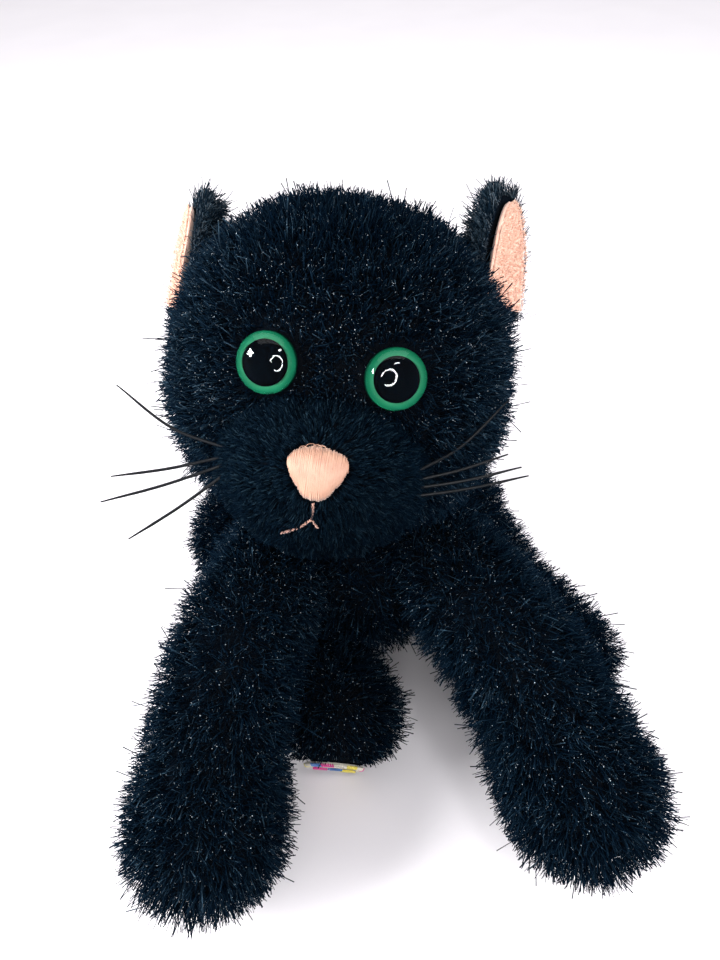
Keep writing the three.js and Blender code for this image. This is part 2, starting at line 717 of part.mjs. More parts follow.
function addTorso() {
  const outer = subtractAll(
    toSolid(limbGeometry(TORSO.spine, TORSO.radii, 0, 20, 9)),
    [floorBlock, ...outerRoom(SWING_GAP)],
  );
  const inner = subtractAll(
    toSolid(limbGeometry(TORSO.spine, TORSO.radii, -WALL, 12, 5)),
    [floorBlock.translate([0, 0, WALL]), ...innerRoom(SWING_GAP + WALL)],
  );
  const neckHole = neckInTorso(NECK.torsoHole, 6);
  const cover = largestPiece(largestPiece(outer).subtract(inner).subtract(neckHole));
  addMesh(toy, 'torso_cover', cover, blackPile);
  const filling = subtractAll(
    toSolid(limbGeometry(TORSO.spine, TORSO.radii, -WALL - GAP, 12, 5)),
    [
      floorBlock.translate([0, 0, WALL + GAP]),
      ...innerRoom(SWING_GAP + WALL + GAP),
      neckInTorso(NECK.torsoRoom, 1),
      toSolid(puffBall(PELLET_POUCH, GAP, 14, 9)),
      underPouch,
    ],
  );
  addMesh(toy, 'torso_stuffing', largestPiece(filling), whiteFill);
  const pouchInside = toSolid(puffBall(PELLET_POUCH, -PELLET_POUCH.wall, 12, 8));
  const pouchShell = toSolid(puffBall(PELLET_POUCH, 0, 14, 9)).subtract(pouchInside);
  const pouchTop = pouchZ + PELLET_POUCH.radii[2] + 2;
  const slit = toSolid(new THREE.BoxGeometry(5, 1.6, 12).translate(pouchX, pouchY, pouchTop));
  addMesh(toy, 'pellet_pouch', largestPiece(pouchShell.subtract(slit)), pouchCloth);
  const pellets = toSolid(puffBall(PELLET_POUCH, -PELLET_POUCH.wall - GAP, 12, 8));
  addMesh(toy, 'pouch_pellets', pellets, pelletPlastic);
}

function addNeck() {
  const { radius, low, high } = NECK;
  const [x, y] = NECK.centre;
  const chamfer = 2;
  const profile = [
    [0, low], [radius - chamfer, low], [radius, low + chamfer],
    [radius, high - chamfer], [radius - chamfer, high], [0, high],
  ];
  addMesh(toy, 'neck_stuffing', latheSolid(profile, 18).translate([x, y, 0]), whiteFill);
}

// a blank tab that stands out of the seam beside the tail
function addCareLabel() {
  const { width, thickness, length } = LABEL;
  const outward = new THREE.Vector3(...LABEL.outward).normalize();
  const acrossTab = new THREE.Vector3().crossVectors(outward, new THREE.Vector3(0, 0, 1)).normalize();
  const alongSeam = new THREE.Vector3().crossVectors(outward, acrossTab);
  const tab = new THREE.BoxGeometry(length, thickness, width);
  tab.applyMatrix4(new THREE.Matrix4().makeBasis(outward, acrossTab, alongSeam));
  const rump = new THREE.Vector3(...TORSO.spine[2]);
  const reach = TORSO.radii[2] + length / 2 - LABEL.sewnIn;
  tab.translate(...rump.addScaledVector(outward, reach).toArray());
  const clear = toSolid(limbGeometry(TORSO.spine, TORSO.radii, GAP, 20, 9));
  addMesh(toy, 'care_label', largestPiece(toSolid(tab).subtract(clear)), labelCloth);
}

addHeadCover();
addHeadStuffing();
addMuzzlePanel();
addNose();
addMouth();
eyeFrames.forEach(addEye);
addWhiskers('right', -1);
addWhiskers('left', 1);
addEar('right');
addEar('left');
addTorso();
addNeck();
// how far along the last length of a leg its pellets begin
LEGS.forEach((leg) => addLimb(leg, leg.name.startsWith('front') ? 0.55 : 0.35));
addLimb({ ...TAIL, name: 'tail' }, null);
addSolePatch(LEGS[2]);
addCareLabel();

// the origin is at the middle of the toy's outline, on the surface that it stands on
toy.updateMatrixWorld(true);
const bounds = new THREE.Box3().setFromObject(toy, true);
const middle = bounds.getCenter(new THREE.Vector3());
toy.position.set(-middle.x, -middle.y, -bounds.min.z);
toy.updateMatrixWorld(true);

export default toy;
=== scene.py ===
"""The looks of a small black plush cat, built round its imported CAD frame.

Lengths are written in millimetres in the frame that the toy was designed in ("stand"
frame) and turned into metres in the row's frame by place(). "left" and "right" are the
cat's own sides: left is +X, and the face looks to -Y.
"""

import json
import math

import bmesh
import bpy
import numpy as np
from mathutils import Matrix, Vector, kdtree
from mathutils.bvhtree import BVHTree


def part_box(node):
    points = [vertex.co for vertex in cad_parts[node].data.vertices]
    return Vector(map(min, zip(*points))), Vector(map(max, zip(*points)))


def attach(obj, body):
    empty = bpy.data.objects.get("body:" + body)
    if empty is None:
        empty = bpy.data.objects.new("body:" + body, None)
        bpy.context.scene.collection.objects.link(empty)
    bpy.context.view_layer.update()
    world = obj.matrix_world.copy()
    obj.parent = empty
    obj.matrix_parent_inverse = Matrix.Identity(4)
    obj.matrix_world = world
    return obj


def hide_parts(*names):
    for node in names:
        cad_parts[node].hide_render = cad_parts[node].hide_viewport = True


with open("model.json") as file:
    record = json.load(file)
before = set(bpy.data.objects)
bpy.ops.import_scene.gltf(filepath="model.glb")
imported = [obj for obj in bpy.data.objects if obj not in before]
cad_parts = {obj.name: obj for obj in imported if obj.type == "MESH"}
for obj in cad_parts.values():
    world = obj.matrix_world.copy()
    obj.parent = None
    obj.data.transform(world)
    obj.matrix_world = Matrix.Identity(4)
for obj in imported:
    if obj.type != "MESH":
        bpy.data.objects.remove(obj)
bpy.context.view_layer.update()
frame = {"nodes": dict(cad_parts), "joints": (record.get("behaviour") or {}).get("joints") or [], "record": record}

# ------------------------------------------------------------------ driving dimensions
MM = 0.001
HEAD_TURN_AT = (-3, 10, 44)  # where the neck turns, in the stand frame
HEAD = {
    "centre": (-3.4, 8, 76.5),
    "pitch": 23,
    "yaw": -4.5,
    "roll": 7.5,
    "radii": (35.5, 32, 34.5),
    "power": 2.25,
    "jowl": 0.035,
}
MUZZLE = {"centre": (0, -24, -14.6), "radii": (21.3, 18.2, 18), "power": 2, "jowl": 0}
TORSO = {
    "path": ((-1, -11, 27.5), (-3, 8, 27.5), (-3, 27, 23.2)),
    "radii": (18.5, 20.5, 24),
}
LIMBS = {
    "front_leg_right": {
        "path": ((-20, -14, 35.5), (-30, -38, 33), (-35, -58, 21.7), (-36.5, -70.5, 14.3)),
        "radii": (11.6, 11.8, 12.3, 14.6),
    },
    "front_leg_left": {
        "path": ((17.5, -14, 35.5), (31, -38, 33), (40.5, -56, 21.7), (45, -66.5, 14.8)),
        "radii": (11.6, 11.8, 12.6, 15.2),
    },
    "hind_leg_right": {
        "path": ((-31, 9, 19.5), (-23.5, -12, 12.3), (-14.5, -31, 11.6), (-8, -44.5, 12)),
        "radii": (14.2, 10.8, 10.9, 12.6),
    },
    "hind_leg_left": {
        "path": ((25.5, 17, 17), (34.5, -3, 12), (43, -19, 10.8), (49.5, -30.5, 10.8)),
        "radii": (12.5, 10.6, 10.2, 11),
    },
    "tail": {
        "path": ((-3, 50, 15.5), (-13, 61, 11.5), (-26, 66, 9.3), (-42, 63, 8.6)),
        "radii": (8, 7.6, 7.2, 7.6),
    },
}
EAR = {
    "width": 21, "height": 25, "cup": 3.2, "back": 2.2, "lining": 1.2,
    "gap": 0.35,  # between the back and the lining
    "seam": (2.4, 1.6),  # how much less the lining is wide and high
    "off_head": 0.8,  # how far the cloths stay off the head's cover
}
EARS = {
    "right": {"base": (-40.2, 4.5, 8.5), "facing": (-0.93, -0.36, 0.1), "rise": (-0.12, 0.1, 1)},
    "left": {"base": (34.5, 4.5, 18), "facing": (0.83, -0.55, 0.1), "rise": (0.12, 0.1, 1)},
}
SIDES = {"right": -1, "left": 1}
EYE_AT = (12, 7.4)  # sideways and up from the middle of the head
EYE = {"radius": 6, "height": 3.9, "pupil": 3.9, "rise": 1.3, "seat": 0.7, "disc": 0.5}
DOME_STEPS, DOME_SIDES = 40, 160  # fine, so that what the domes reflect stays smooth
NOSE = {"middle": (0, -9), "width": 11.6, "height": 9.4, "thread": 0.34}
NOSE_TOP, NOSE_FOOT = NOSE["height"] * 0.42, -NOSE["height"] * 0.58
SOLE = {"normal": (-0.12, -0.93, -0.36), "reach": 10.9, "radius": 7.2, "thickness": 0.9, "trim": 4.5}
WHISKER_TIPS = {
    "right": ((-44, -24, -3), (-42, -33, -19.5), (-43, -36, -24), (-37, -37, -31)),
    "left": ((36, -22, 4), (37, -27, -6), (40, -28, -8), (42, -27, -10)),
}
LABEL_TAB = {"length": 12.4, "width": 8.6, "thickness": 0.3, "curl": 0.9}
FLOOR_CLEARANCE = 0.25  # no strand of the pile lies lower than this

CAMERA = {"at": (0, -133.5, 180.7), "down": 44.78, "roll": -2.73, "lens": 28.0}

turn_joint = next(j for j in frame["joints"] if j["name"] == "head_turn")
SHIFT = np.array(turn_joint["pos_m"]) / MM - np.array(HEAD_TURN_AT)


def place(points):
    """Stand frame in millimetres to the row's frame in metres."""
    return (np.asarray(points, float) + SHIFT) * MM


def unit(vectors):
    """The same vectors with a length of one."""
    vectors = np.asarray(vectors, float)
    length = np.linalg.norm(vectors, axis=-1, keepdims=True)
    return vectors / np.maximum(length, 1e-9)


# ------------------------------------------------------------------ the head's own frame
def head_matrix():
    """Turns head coordinates into the stand frame."""
    yaw = Matrix.Rotation(math.radians(HEAD["yaw"]), 4, "Z")
    pitch = Matrix.Rotation(-math.radians(HEAD["pitch"]), 4, "X")
    roll = Matrix.Rotation(math.radians(HEAD["roll"]), 4, "Y")
    return Matrix.Translation(HEAD["centre"]) @ yaw @ pitch @ roll


HEAD_TO_STAND = np.array(head_matrix())


def from_head(points):
    return np.asarray(points, float) @ HEAD_TO_STAND[:3, :3].T + HEAD_TO_STAND[:3, 3]


def turn_from_head(vectors):
    return np.asarray(vectors, float) @ HEAD_TO_STAND[:3, :3].T


def to_head(points):
    return (np.asarray(points, float) - HEAD_TO_STAND[:3, 3]) @ HEAD_TO_STAND[:3, :3]


# ------------------------------------------------------------------ surfaces of the covers
def smooth_path(points, per_span=40):
    """Points along a centripetal Catmull-Rom curve through the given points."""
    p = np.array(points, float)
    p = np.vstack([2 * p[0] - p[1], p, 2 * p[-1] - p[-2]])
    t = np.linspace(0, 1, per_span, endpoint=False)[:, None]
    spans = []
    for a, b, c, d in zip(p, p[1:], p[2:], p[3:]):
        ab, bc, cd = (math.sqrt(np.linalg.norm(q - r)) for q, r in ((b, a), (c, b), (d, c)))
        start = ((b - a) / ab - (c - a) / (ab + bc) + (c - b) / bc) * bc
        end = ((c - b) / bc - (d - b) / (bc + cd) + (d - c) / cd) * bc
        cubic = 2 * b - 2 * c + start + end
        square = 3 * c - 3 * b - 2 * start - end
        spans.append(b + start * t + square * t**2 + cubic * t**3)
    return np.vstack(spans + [p[-2:-1]])


class Limb:
    """A stuffed tube with round ends: a path with a radius that changes along it."""

    def __init__(self, path, radii):
        self.line = smooth_path(path)
        steps = np.linalg.norm(np.diff(self.line, axis=0), axis=1)
        self.along = np.concatenate([[0], np.cumsum(steps)])
        self.length = self.along[-1]
        self.radii = np.array(radii, float)

    def radius(self, along):
        """Radius of the tube this far along it."""
        last = len(self.radii) - 1
        share = np.clip(along / self.length, 0, 1) * last
        step = np.minimum(share.astype(int), last - 1)
        within = share - step
        ease = within * within * (3 - 2 * within)
        return self.radii[step] + (self.radii[step + 1] - self.radii[step]) * ease

    def centre(self, along):
        """Point of the centreline and its direction, straight on past both ends."""
        inside = np.clip(along, 0, self.length)
        point = np.stack([np.interp(inside, self.along, self.line[:, i]) for i in range(3)], 1)
        slope = np.gradient(self.line, self.along, axis=0)
        tangent = unit(np.stack([np.interp(inside, self.along, slope[:, i]) for i in range(3)], 1))
        return point + tangent * (along - inside)[:, None], tangent

    def scatter(self, count, rng):
        """Points spread evenly over the skin, with their normals and the way to the end."""
        first, last = self.radii[0], self.radii[-1]
        table = np.linspace(-first, self.length + last, 400)
        weight = np.cumsum(self.radius(table))
        along = np.interp(rng.random(count) * weight[-1], weight, table)
        angle = rng.random(count) * 2 * np.pi
        middle, tangent = self.centre(along)
        side = unit(np.cross(tangent, (0, 0, 1)))
        up = np.cross(side, tangent)
        beyond = along - np.clip(along, 0, self.length)
        full = self.radius(along)
        across = np.sqrt(np.maximum(full**2 - beyond**2, 0))
        radial = side * np.cos(angle)[:, None] + up * np.sin(angle)[:, None]
        roots = middle + radial * across[:, None]
        normals = unit(radial * across[:, None] + tangent * beyond[:, None])
        return roots, normals, tangent

    def area(self):
        table = np.linspace(0, self.length, 60)
        caps = 2 * np.pi * (self.radii[0] ** 2 + self.radii[-1] ** 2)
        return 2 * np.pi * self.radius(table).mean() * self.length + caps

    def outside(self, points):
        """Distance outside the skin (negative inside) and the way out."""
        every = self.line[::6]
        apart = points[:, None, :] - every[None, :, :]
        distance = np.linalg.norm(apart, axis=2) - self.radius(self.along[::6])
        nearest = distance.argmin(axis=1)
        rows = np.arange(len(points))
        return distance[rows, nearest], unit(apart[rows, nearest])


class Ball:
    """A rounded, slightly boxy ball in the head's frame, wider at its foot by its jowl."""

    def __init__(self, centre, radii, power, jowl):
        self.middle = np.array(centre, float)
        self.radii = np.array(radii, float)
        self.power = power
        self.jowl = jowl

    def skin(self, directions, grow=0.0):
        """Points of the skin in these directions, and their normals, in the head's frame."""
        way = unit(directions)
        size = (np.abs(way) ** self.power).sum(axis=1, keepdims=True) ** (-1 / self.power)
        way = way * size
        radii = self.radii + grow
        points = way * radii
        points[:, 0] *= 1 - self.jowl * way[:, 2]
        slope = np.sign(way) * np.abs(way) ** (self.power - 1) / radii
        return points + self.middle, unit(slope)

    def scatter(self, count, rng):
        points, normals = self.skin(rng.normal(size=(count, 3)))
        return from_head(points), turn_from_head(normals), None

    def area(self):
        a, b, c = self.radii
        mean = ((a * b) ** 1.6 + (a * c) ** 1.6 + (b * c) ** 1.6) / 3
        return 4 * np.pi * mean ** (1 / 1.6) * (1 + 0.3 * (self.power - 2))

    def outside(self, points):
        """Rough distance outside the skin (negative inside) and the way out."""
        local = to_head(points) - self.middle
        scaled = local / self.radii
        size = (np.abs(scaled) ** self.power).sum(axis=1) ** (1 / self.power)
        distance = (size - 1) * np.linalg.norm(local, axis=1) / np.maximum(size, 1e-6)
        slope = np.sign(scaled) * np.abs(scaled) ** (self.power - 1) / self.radii
        return distance, turn_from_head(unit(slope))

    def front(self, x, z, grow=0.0):
        """Point straight in front of (x, z) on the skin, and its normal."""
        radii = self.radii + grow
        across = (np.asarray(x, float) - self.middle[0]) / radii[0]
        height = (np.asarray(z, float) - self.middle[2]) / radii[2]
        rest = 1 - np.abs(across) ** self.power - np.abs(height) ** self.power
        depth = -(np.maximum(rest, 1e-6) ** (1 / self.power))
        scaled = np.stack([across, depth, height], axis=-1)
        slope = np.sign(scaled) * np.abs(scaled) ** (self.power - 1) / radii
        return scaled * radii + self.middle, unit(slope)


torso = Limb(**TORSO)
limbs = {name: Limb(**shape) for name, shape in LIMBS.items()}
skull = Ball((0, 0, 0), HEAD["radii"], HEAD["power"], HEAD["jowl"])
muzzle = Ball(MUZZLE["centre"], MUZZLE["radii"], MUZZLE["power"], MUZZLE["jowl"])
SOLIDS = {"torso": torso, "head": skull, "muzzle": muzzle, **limbs}


# ------------------------------------------------------------------ materials
def principled(name, colour, roughness, **settings):
    """A material with one Principled shader, and its shader."""
    mat = bpy.data.materials.new(name)
    mat.use_nodes = True
    shader = mat.node_tree.nodes["Principled BSDF"]
    shader.inputs["Base Color"].default_value = (*colour, 1)
    shader.inputs["Roughness"].default_value = roughness
    for socket, value in settings.items():
        shader.inputs[socket.replace("_", " ")].default_value = value
    mat.diffuse_color = (*colour, 1)
    return mat, shader


def add_bump(mat, shader, height, strength, distance):
    """Bump from a height socket; distance is in millimetres."""
    bump = mat.node_tree.nodes.new("ShaderNodeBump")
    bump.inputs["Strength"].default_value = strength
    bump.inputs["Distance"].default_value = distance * MM
    mat.node_tree.links.new(height, bump.inputs["Height"])
    mat.node_tree.links.new(bump.outputs["Normal"], shader.inputs["Normal"])


def texture_of(mat, kind, **inputs):
    """A texture node laid out in the row's frame, in units of one millimetre."""
    nodes = mat.node_tree.nodes
    links = mat.node_tree.links
    where = nodes.new("ShaderNodeTexCoord")
    size = nodes.new("ShaderNodeMapping")
    size.inputs["Scale"].default_value = (1 / MM, 1 / MM, 1 / MM)
    links.new(where.outputs["Object"], size.inputs["Vector"])
    texture = nodes.new(kind)
    links.new(size.outputs["Vector"], texture.inputs["Vector"])
    for socket, value in inputs.items():
        texture.inputs[socket.replace("_", " ")].default_value = value
    return texture


def colour_between(mat, shader, share, colours):
    """Base colour from a 0 to 1 socket, through colours at given places."""
    ramp = mat.node_tree.nodes.new("ShaderNodeValToRGB")
    while len(ramp.color_ramp.elements) < len(colours):
        ramp.color_ramp.elements.new(0.5)
    for element, (position, colour) in zip(ramp.color_ramp.elements, colours):
        element.position = position
        element.color = (*colour, 1)
    mat.node_tree.links.new(share, ramp.inputs["Fac"])
    mat.node_tree.links.new(ramp.outputs["Color"], shader.inputs["Base Color"])


def pile_shades(name, shades):
    """The shades that the strands of one kind of pile are dyed in: one material each."""
    made = []
    for step, (colour, roughness, specular) in enumerate(shades):
        mat, shader = principled(
            f"{name}_{step + 1}", colour, roughness, Specular_IOR_Level=specular
        )
        if colour[0] < colour[2]:
            shader.inputs["Specular Tint"].default_value = PILE_TINT
        made.append(mat)
    return made


def backing_cloth():
    """The knitted backing that the pile stands on."""
    mat, shader = principled("backing_cloth", (0.0006, 0.002, 0.0045), 0.95, Specular_IOR_Level=0.05)
    knit = texture_of(mat, "ShaderNodeTexVoronoi", Scale=1.6)
    add_bump(mat, shader, knit.outputs["Distance"], 0.8, 0.4)
    return mat


def fibre_filling():
    mat, shader = principled("fibre_filling", (0.86, 0.85, 0.82), 0.95, Sheen_Weight=0.4)
    tangle = texture_of(mat, "ShaderNodeTexNoise", Scale=0.9, Detail=6.0)
    # painted shade: the filling is darker where the tangle's bump is low, in its hollows
    colour_between(mat, shader, tangle.outputs["Fac"], [
        (0.3, (0.62, 0.61, 0.58)), (0.6, (0.9, 0.89, 0.86)),
    ])
    add_bump(mat, shader, tangle.outputs["Fac"], 0.9, 0.8)
    return mat


def plastic_pellets():
    mat, shader = principled("plastic_pellets", (0.8, 0.8, 0.76), 0.4)
    beads = texture_of(mat, "ShaderNodeTexVoronoi", Scale=0.45)
    # painted shade: each bead is darker towards its edge, where it meets the next
    colour_between(mat, shader, beads.outputs["Distance"], [
        (0.1, (0.88, 0.88, 0.84)), (0.75, (0.35, 0.34, 0.3)),
    ])
    add_bump(mat, shader, beads.outputs["Distance"], 1.0, 0.9)
    return mat


def woven(name, light, dark, pitch):
    """Plain woven cloth: threads pitch millimetres apart."""
    mat, shader = principled(name, light, 0.85, Sheen_Weight=0.2)
    threads = texture_of(mat, "ShaderNodeTexWave", Scale=1 / pitch / 2, Distortion=0.6, Detail=2.0)
    # painted shade: the cloth is darker where the threads dip, between them
    colour_between(mat, shader, threads.outputs["Fac"], [(0.15, dark), (0.7, light)])
    add_bump(mat, shader, threads.outputs["Fac"], 0.6, 0.12)
    return mat


def thread(name, light, dark):
    """Shiny embroidery thread with a faint change of colour along it."""
    mat, shader = principled(name, light, 0.45, Sheen_Weight=0.3)
    shift = texture_of(mat, "ShaderNodeTexNoise", Scale=0.35, Detail=3.0)
    colour_between(mat, shader, shift.outputs["Fac"], [(0.3, dark), (0.62, light)])
    ply = texture_of(mat, "ShaderNodeTexNoise", Scale=9.0, Detail=2.0)
    add_bump(mat, shader, ply.outputs["Fac"], 0.35, 0.05)
    return mat


IRIS_SHADES = (  # red, green, blue from the pupil to the outer edge
    (0.05, 0.009, 0.005, 0.001),
    (0.28, 0.18, 0.11, 0.02),
    (0.15, 0.086, 0.054, 0.012),
)


def iris_paint():
    """Green paint. Its shade comes from the colour attribute that make_eye gives the ring."""
    mat, shader = principled("iris_paint", (0.03, 0.36, 0.14), 0.8, Specular_IOR_Level=0.0)
    shade = mat.node_tree.nodes.new("ShaderNodeVertexColor")
    shade.layer_name = "shade"
    mat.node_tree.links.new(shade.outputs["Color"], shader.inputs["Base Color"])
    return mat


def whisker_bristle():
    mat, shader = principled("whisker_bristle", (0.004, 0.005, 0.007), 0.5, Specular_IOR_Level=0.2)
    grain = texture_of(mat, "ShaderNodeTexNoise", Scale=3.0, Detail=2.0)
    add_bump(mat, shader, grain.outputs["Fac"], 0.2, 0.05)
    return mat


def floor_finish():
    mat, shader = principled("floor_finish", (0.88, 0.85, 0.885), 0.6, Specular_IOR_Level=0.2)
    grain = texture_of(mat, "ShaderNodeTexNoise", Scale=0.02, Detail=2.0)
    colour_between(mat, shader, grain.outputs["Fac"], [
        (0.3, (0.87, 0.84, 0.875)), (0.7, (0.89, 0.86, 0.895)),
    ])
    return mat


BACKING = backing_cloth()
FILLING = fibre_filling()
PELLETS = plastic_pellets()
POUCH = woven("pouch_cloth", (0.72, 0.7, 0.64), (0.5, 0.48, 0.43), 0.5)
PATCH = woven("patch_cloth", (0.8, 0.76, 0.66), (0.6, 0.56, 0.46), 0.45)
LABEL = woven("label_cloth", (0.9, 0.89, 0.86), (0.7, 0.69, 0.66), 0.35)
PEACH_THREAD = thread("peach_thread", (0.5, 0.28, 0.19), (0.42, 0.205, 0.135))
MOUTH_THREAD = thread("mouth_thread", (0.5, 0.27, 0.2), (0.2, 0.1, 0.09))
PINK_THREAD = thread("pink_thread", (0.72, 0.03, 0.28), (0.5, 0.02, 0.18))
BLUE_THREAD = thread("blue_thread", (0.04, 0.2, 0.55), (0.02, 0.11, 0.36))
YELLOW_THREAD = thread("yellow_thread", (0.85, 0.72, 0.09), (0.62, 0.5, 0.05))
IRIS = iris_paint()
PUPIL = principled("pupil_plastic", (0.0006, 0.0016, 0.003), 1.0, Specular_IOR_Level=0.0)[0]
WASHER = principled("washer_plastic", (0.85, 0.85, 0.82), 0.45)[0]
DOME = principled("clear_dome", (1, 1, 1), 0.02, IOR=1.49, Transmission_Weight=1.0)[0]
BRISTLE = whisker_bristle()
PILE_TINT = (0.32, 0.68, 1.0, 1)  # the pile reflects a little blue
BLACK_PILE = pile_shades("black_pile", [
    ((0.0005, 0.0030, 0.0078), 0.75, 0.03),
    ((0.0016, 0.0062, 0.0135), 0.60, 0.12),
    ((0.0090, 0.0175, 0.0280), 0.34, 0.60),
])
PILE_SHARES = (0.66, 0.305, 0.035)  # how many of the strands have each shade
# Two lighter mixes match the light on the front legs and on the sides of the head in the one
# photo. The real cloth most likely has one colour, and PILE_SHARES in both would give that.
LEG_SHARES = (0.42, 0.515, 0.065)
# painted light on the sides of the head
SIDE_LIGHT_SHARES = (0.28, 0.52, 0.2)
# The lighter end shades are in part painted highlights: glints on the strands' cut ends.
PILE_ENDS = pile_shades("pile_end", [
    ((0.0018, 0.0056, 0.0115), 0.7, 0.1),
    ((0.0300, 0.0420, 0.0540), 0.5, 0.4),
    ((0.3600, 0.3900, 0.4100), 0.5, 0.5),
])
END_SHARES = (0.6, 0.22, 0.18)
EAR_PILE = pile_shades("ear_pile", [
    ((0.0018, 0.0060, 0.0125), 0.6, 0.1),
    ((0.0160, 0.0250, 0.0350), 0.5, 0.3),
    ((0.0800, 0.0960, 0.1120), 0.4, 0.5),
])
BLACK_NAP = pile_shades("black_nap", [
    ((0.0003, 0.0022, 0.0058), 0.6, 0.06),
    ((0.0010, 0.0046, 0.0098), 0.5, 0.14),
    ((0.0052, 0.0125, 0.0195), 0.42, 0.32),
])
PEACH_NAP = pile_shades("peach_nap", [
    ((0.71, 0.43, 0.32), 0.8, 0.2),
    ((0.75, 0.49, 0.38), 0.8, 0.2),
    ((0.79, 0.54, 0.44), 0.8, 0.2),
])


# ------------------------------------------------------------------ making pieces
def finish_piece(name, mesh, mats, body, smooth=True, shades=None):
    """Makes a mesh a piece that rides on a body."""
    for mat in mats:
        mesh.materials.append(mat)
    count = len(mesh.polygons)
    if shades is not None:
        mesh.polygons.foreach_set("material_index", np.asarray(shades, np.int32))
    mesh.polygons.foreach_set("use_smooth", np.array(np.broadcast_to(smooth, count), bool))
    mesh.update()
    piece = bpy.data.objects.new(name, mesh)
    bpy.context.scene.collection.objects.link(piece)
    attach(piece, body)
    return piece


def grid_faces(rows, columns, close=False):
    """Quads over a grid of points, row by row; close joins the last column to the first."""
    wrap = columns if close else columns - 1
    return [
        (r * columns + c, r * columns + (c + 1) % columns,
         (r + 1) * columns + (c + 1) % columns, (r + 1) * columns + c)
        for r in range(rows - 1) for c in range(wrap)
    ]


def sheet_faces(rows, columns):
    """Faces of a closed sheet: a lower and an upper grid of points, joined at the border."""
    sheet = grid_faces(rows, columns)
    count = rows * columns
    faces = [f[::-1] for f in sheet] + [tuple(i + count for i in f) for f in sheet]
    border = (list(range(columns)) + [r * columns + columns - 1 for r in range(1, rows)]
              + [(rows - 1) * columns + c for c in range(columns - 2, -1, -1)]
              + [r * columns for r in range(rows - 2, 0, -1)])
    for a, b in zip(border, border[1:] + border[:1]):
        faces.append((a, b, b + count, a + count))
    return faces


def tube(points, radii, sides=8):
    """Points and faces of a closed tube round a line of points."""
    line = np.asarray(points, float)
    radii = np.broadcast_to(np.asarray(radii, float), (len(line),))
    tangent = unit(np.gradient(line, axis=0))
    guide = np.array((0.0, 0.0, 1.0)) if abs(tangent[0][2]) < 0.9 else np.array((1.0, 0, 0))
    side = unit(np.cross(tangent, guide))
    up = np.cross(side, tangent)
    angle = np.linspace(0, 2 * np.pi, sides, endpoint=False)
    ring = (side[:, None] * np.cos(angle)[None, :, None]
            + up[:, None] * np.sin(angle)[None, :, None])
    made = (line[:, None] + ring * radii[:, None, None]).reshape(-1, 3)
    faces = [f[::-1] for f in grid_faces(len(line), sides, close=True)]
    start, end = len(made), len(made) + 1
    made = np.vstack([made, line[0], line[-1]])
    last = (len(line) - 1) * sides
    for s in range(sides):
        follow = (s + 1) % sides
        faces.append((start, follow, s)[::-1])
        faces.append((end, last + s, last + follow)[::-1])
    return made, faces


def joined(parts):
    """Several sets of points and faces as one."""
    points, faces, count = [], [], 0
    for some, these in parts:
        points.append(np.asarray(some, float))
        faces += [tuple(i + count for i in f) for f in these]
        count += len(some)
    return np.vstack(points), faces


def face_out(mesh):
    """Turns the faces of closed meshes outwards."""
    work = bmesh.new()
    work.from_mesh(mesh)
    bmesh.ops.recalc_face_normals(work, faces=work.faces)
    work.to_mesh(mesh)
    work.free()


def mesh_of(name, points, faces):
    mesh = bpy.data.meshes.new(name)
    mesh.from_pydata([tuple(p) for p in points], [], [tuple(f) for f in faces])
    return mesh


def solid_piece(name, node, shape, mat, body, smooth=True):
    """A closed piece from points in the stand frame. It replaces a CAD node, if one is named."""
    points, faces = shape
    piece = finish_piece(name, mesh_of(name, place(points), faces), [mat], body, smooth)
    face_out(piece.data)
    if node:
        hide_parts(node)
    return piece


def soft_waves(points, size, rng):
    """A smooth field from about -1 to 1 whose bumps are size across."""
    total = np.zeros(len(points))
    for _ in range(7):
        way = unit(rng.normal(size=3)) * 2 * np.pi / size * rng.uniform(0.6, 1.3)
        total += np.sin(points @ way + rng.uniform(0, 2 * np.pi))
    return total / 2.6


# ------------------------------------------------------------------ stuffed skins
SKIN_VOXEL = 1.0
SKIN_LUMPS = 0.35


def stuffed_skin(name, node, body, seed):
    """The sewn cover of a stuffed piece: its CAD solid, softened and a little lumpy."""
    mesh = frame["nodes"][node].data.copy()
    mesh.materials.clear()
    work = bpy.data.objects.new(name + "_work", mesh)
    bpy.context.scene.collection.objects.link(work)
    voxels = work.modifiers.new("voxels", "REMESH")
    voxels.mode = "VOXEL"
    voxels.voxel_size = SKIN_VOXEL * MM
    soften = work.modifiers.new("soften", "SMOOTH")
    soften.factor = 0.6
    soften.iterations = 6
    graph = bpy.context.evaluated_depsgraph_get()
    skin = bpy.data.meshes.new_from_object(work.evaluated_get(graph))
    bpy.data.objects.remove(work)
    skin.name = name
    points = np.empty(len(skin.vertices) * 3, np.float32)
    skin.vertices.foreach_get("co", points)
    points = points.reshape(-1, 3).astype(float)
    rng = np.random.default_rng(seed)
    for axis in range(3):
        points[:, axis] += soft_waves(points / MM, 14, rng) * SKIN_LUMPS * MM
    points[:, 2] = np.maximum(points[:, 2], 0.02 * MM)
    skin.vertices.foreach_set("co", points.astype(np.float32).ravel())
    piece = finish_piece(name, skin, [BACKING], body)
    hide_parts(node)
    return piece


# ------------------------------------------------------------------ pile
def clump_tips(roots, tips, per_clump, pull, rng):
    """Draws the tips of neighbouring strands together, as handled pile does."""
    chosen = rng.choice(len(roots), max(1, len(roots) // per_clump), replace=False)
    tree = kdtree.KDTree(len(chosen))
    for place_in_list, strand in enumerate(chosen):
        tree.insert(roots[strand], place_in_list)
    tree.balance()
    nearest = chosen[[tree.find(root)[1] for root in roots]]
    strength = pull * rng.uniform(0.3, 1.3, len(roots))[:, None]
    return tips + (tips[nearest] - tips) * strength


STRAND_CLEARANCE = 0.3  # how far strands are kept outside other pieces


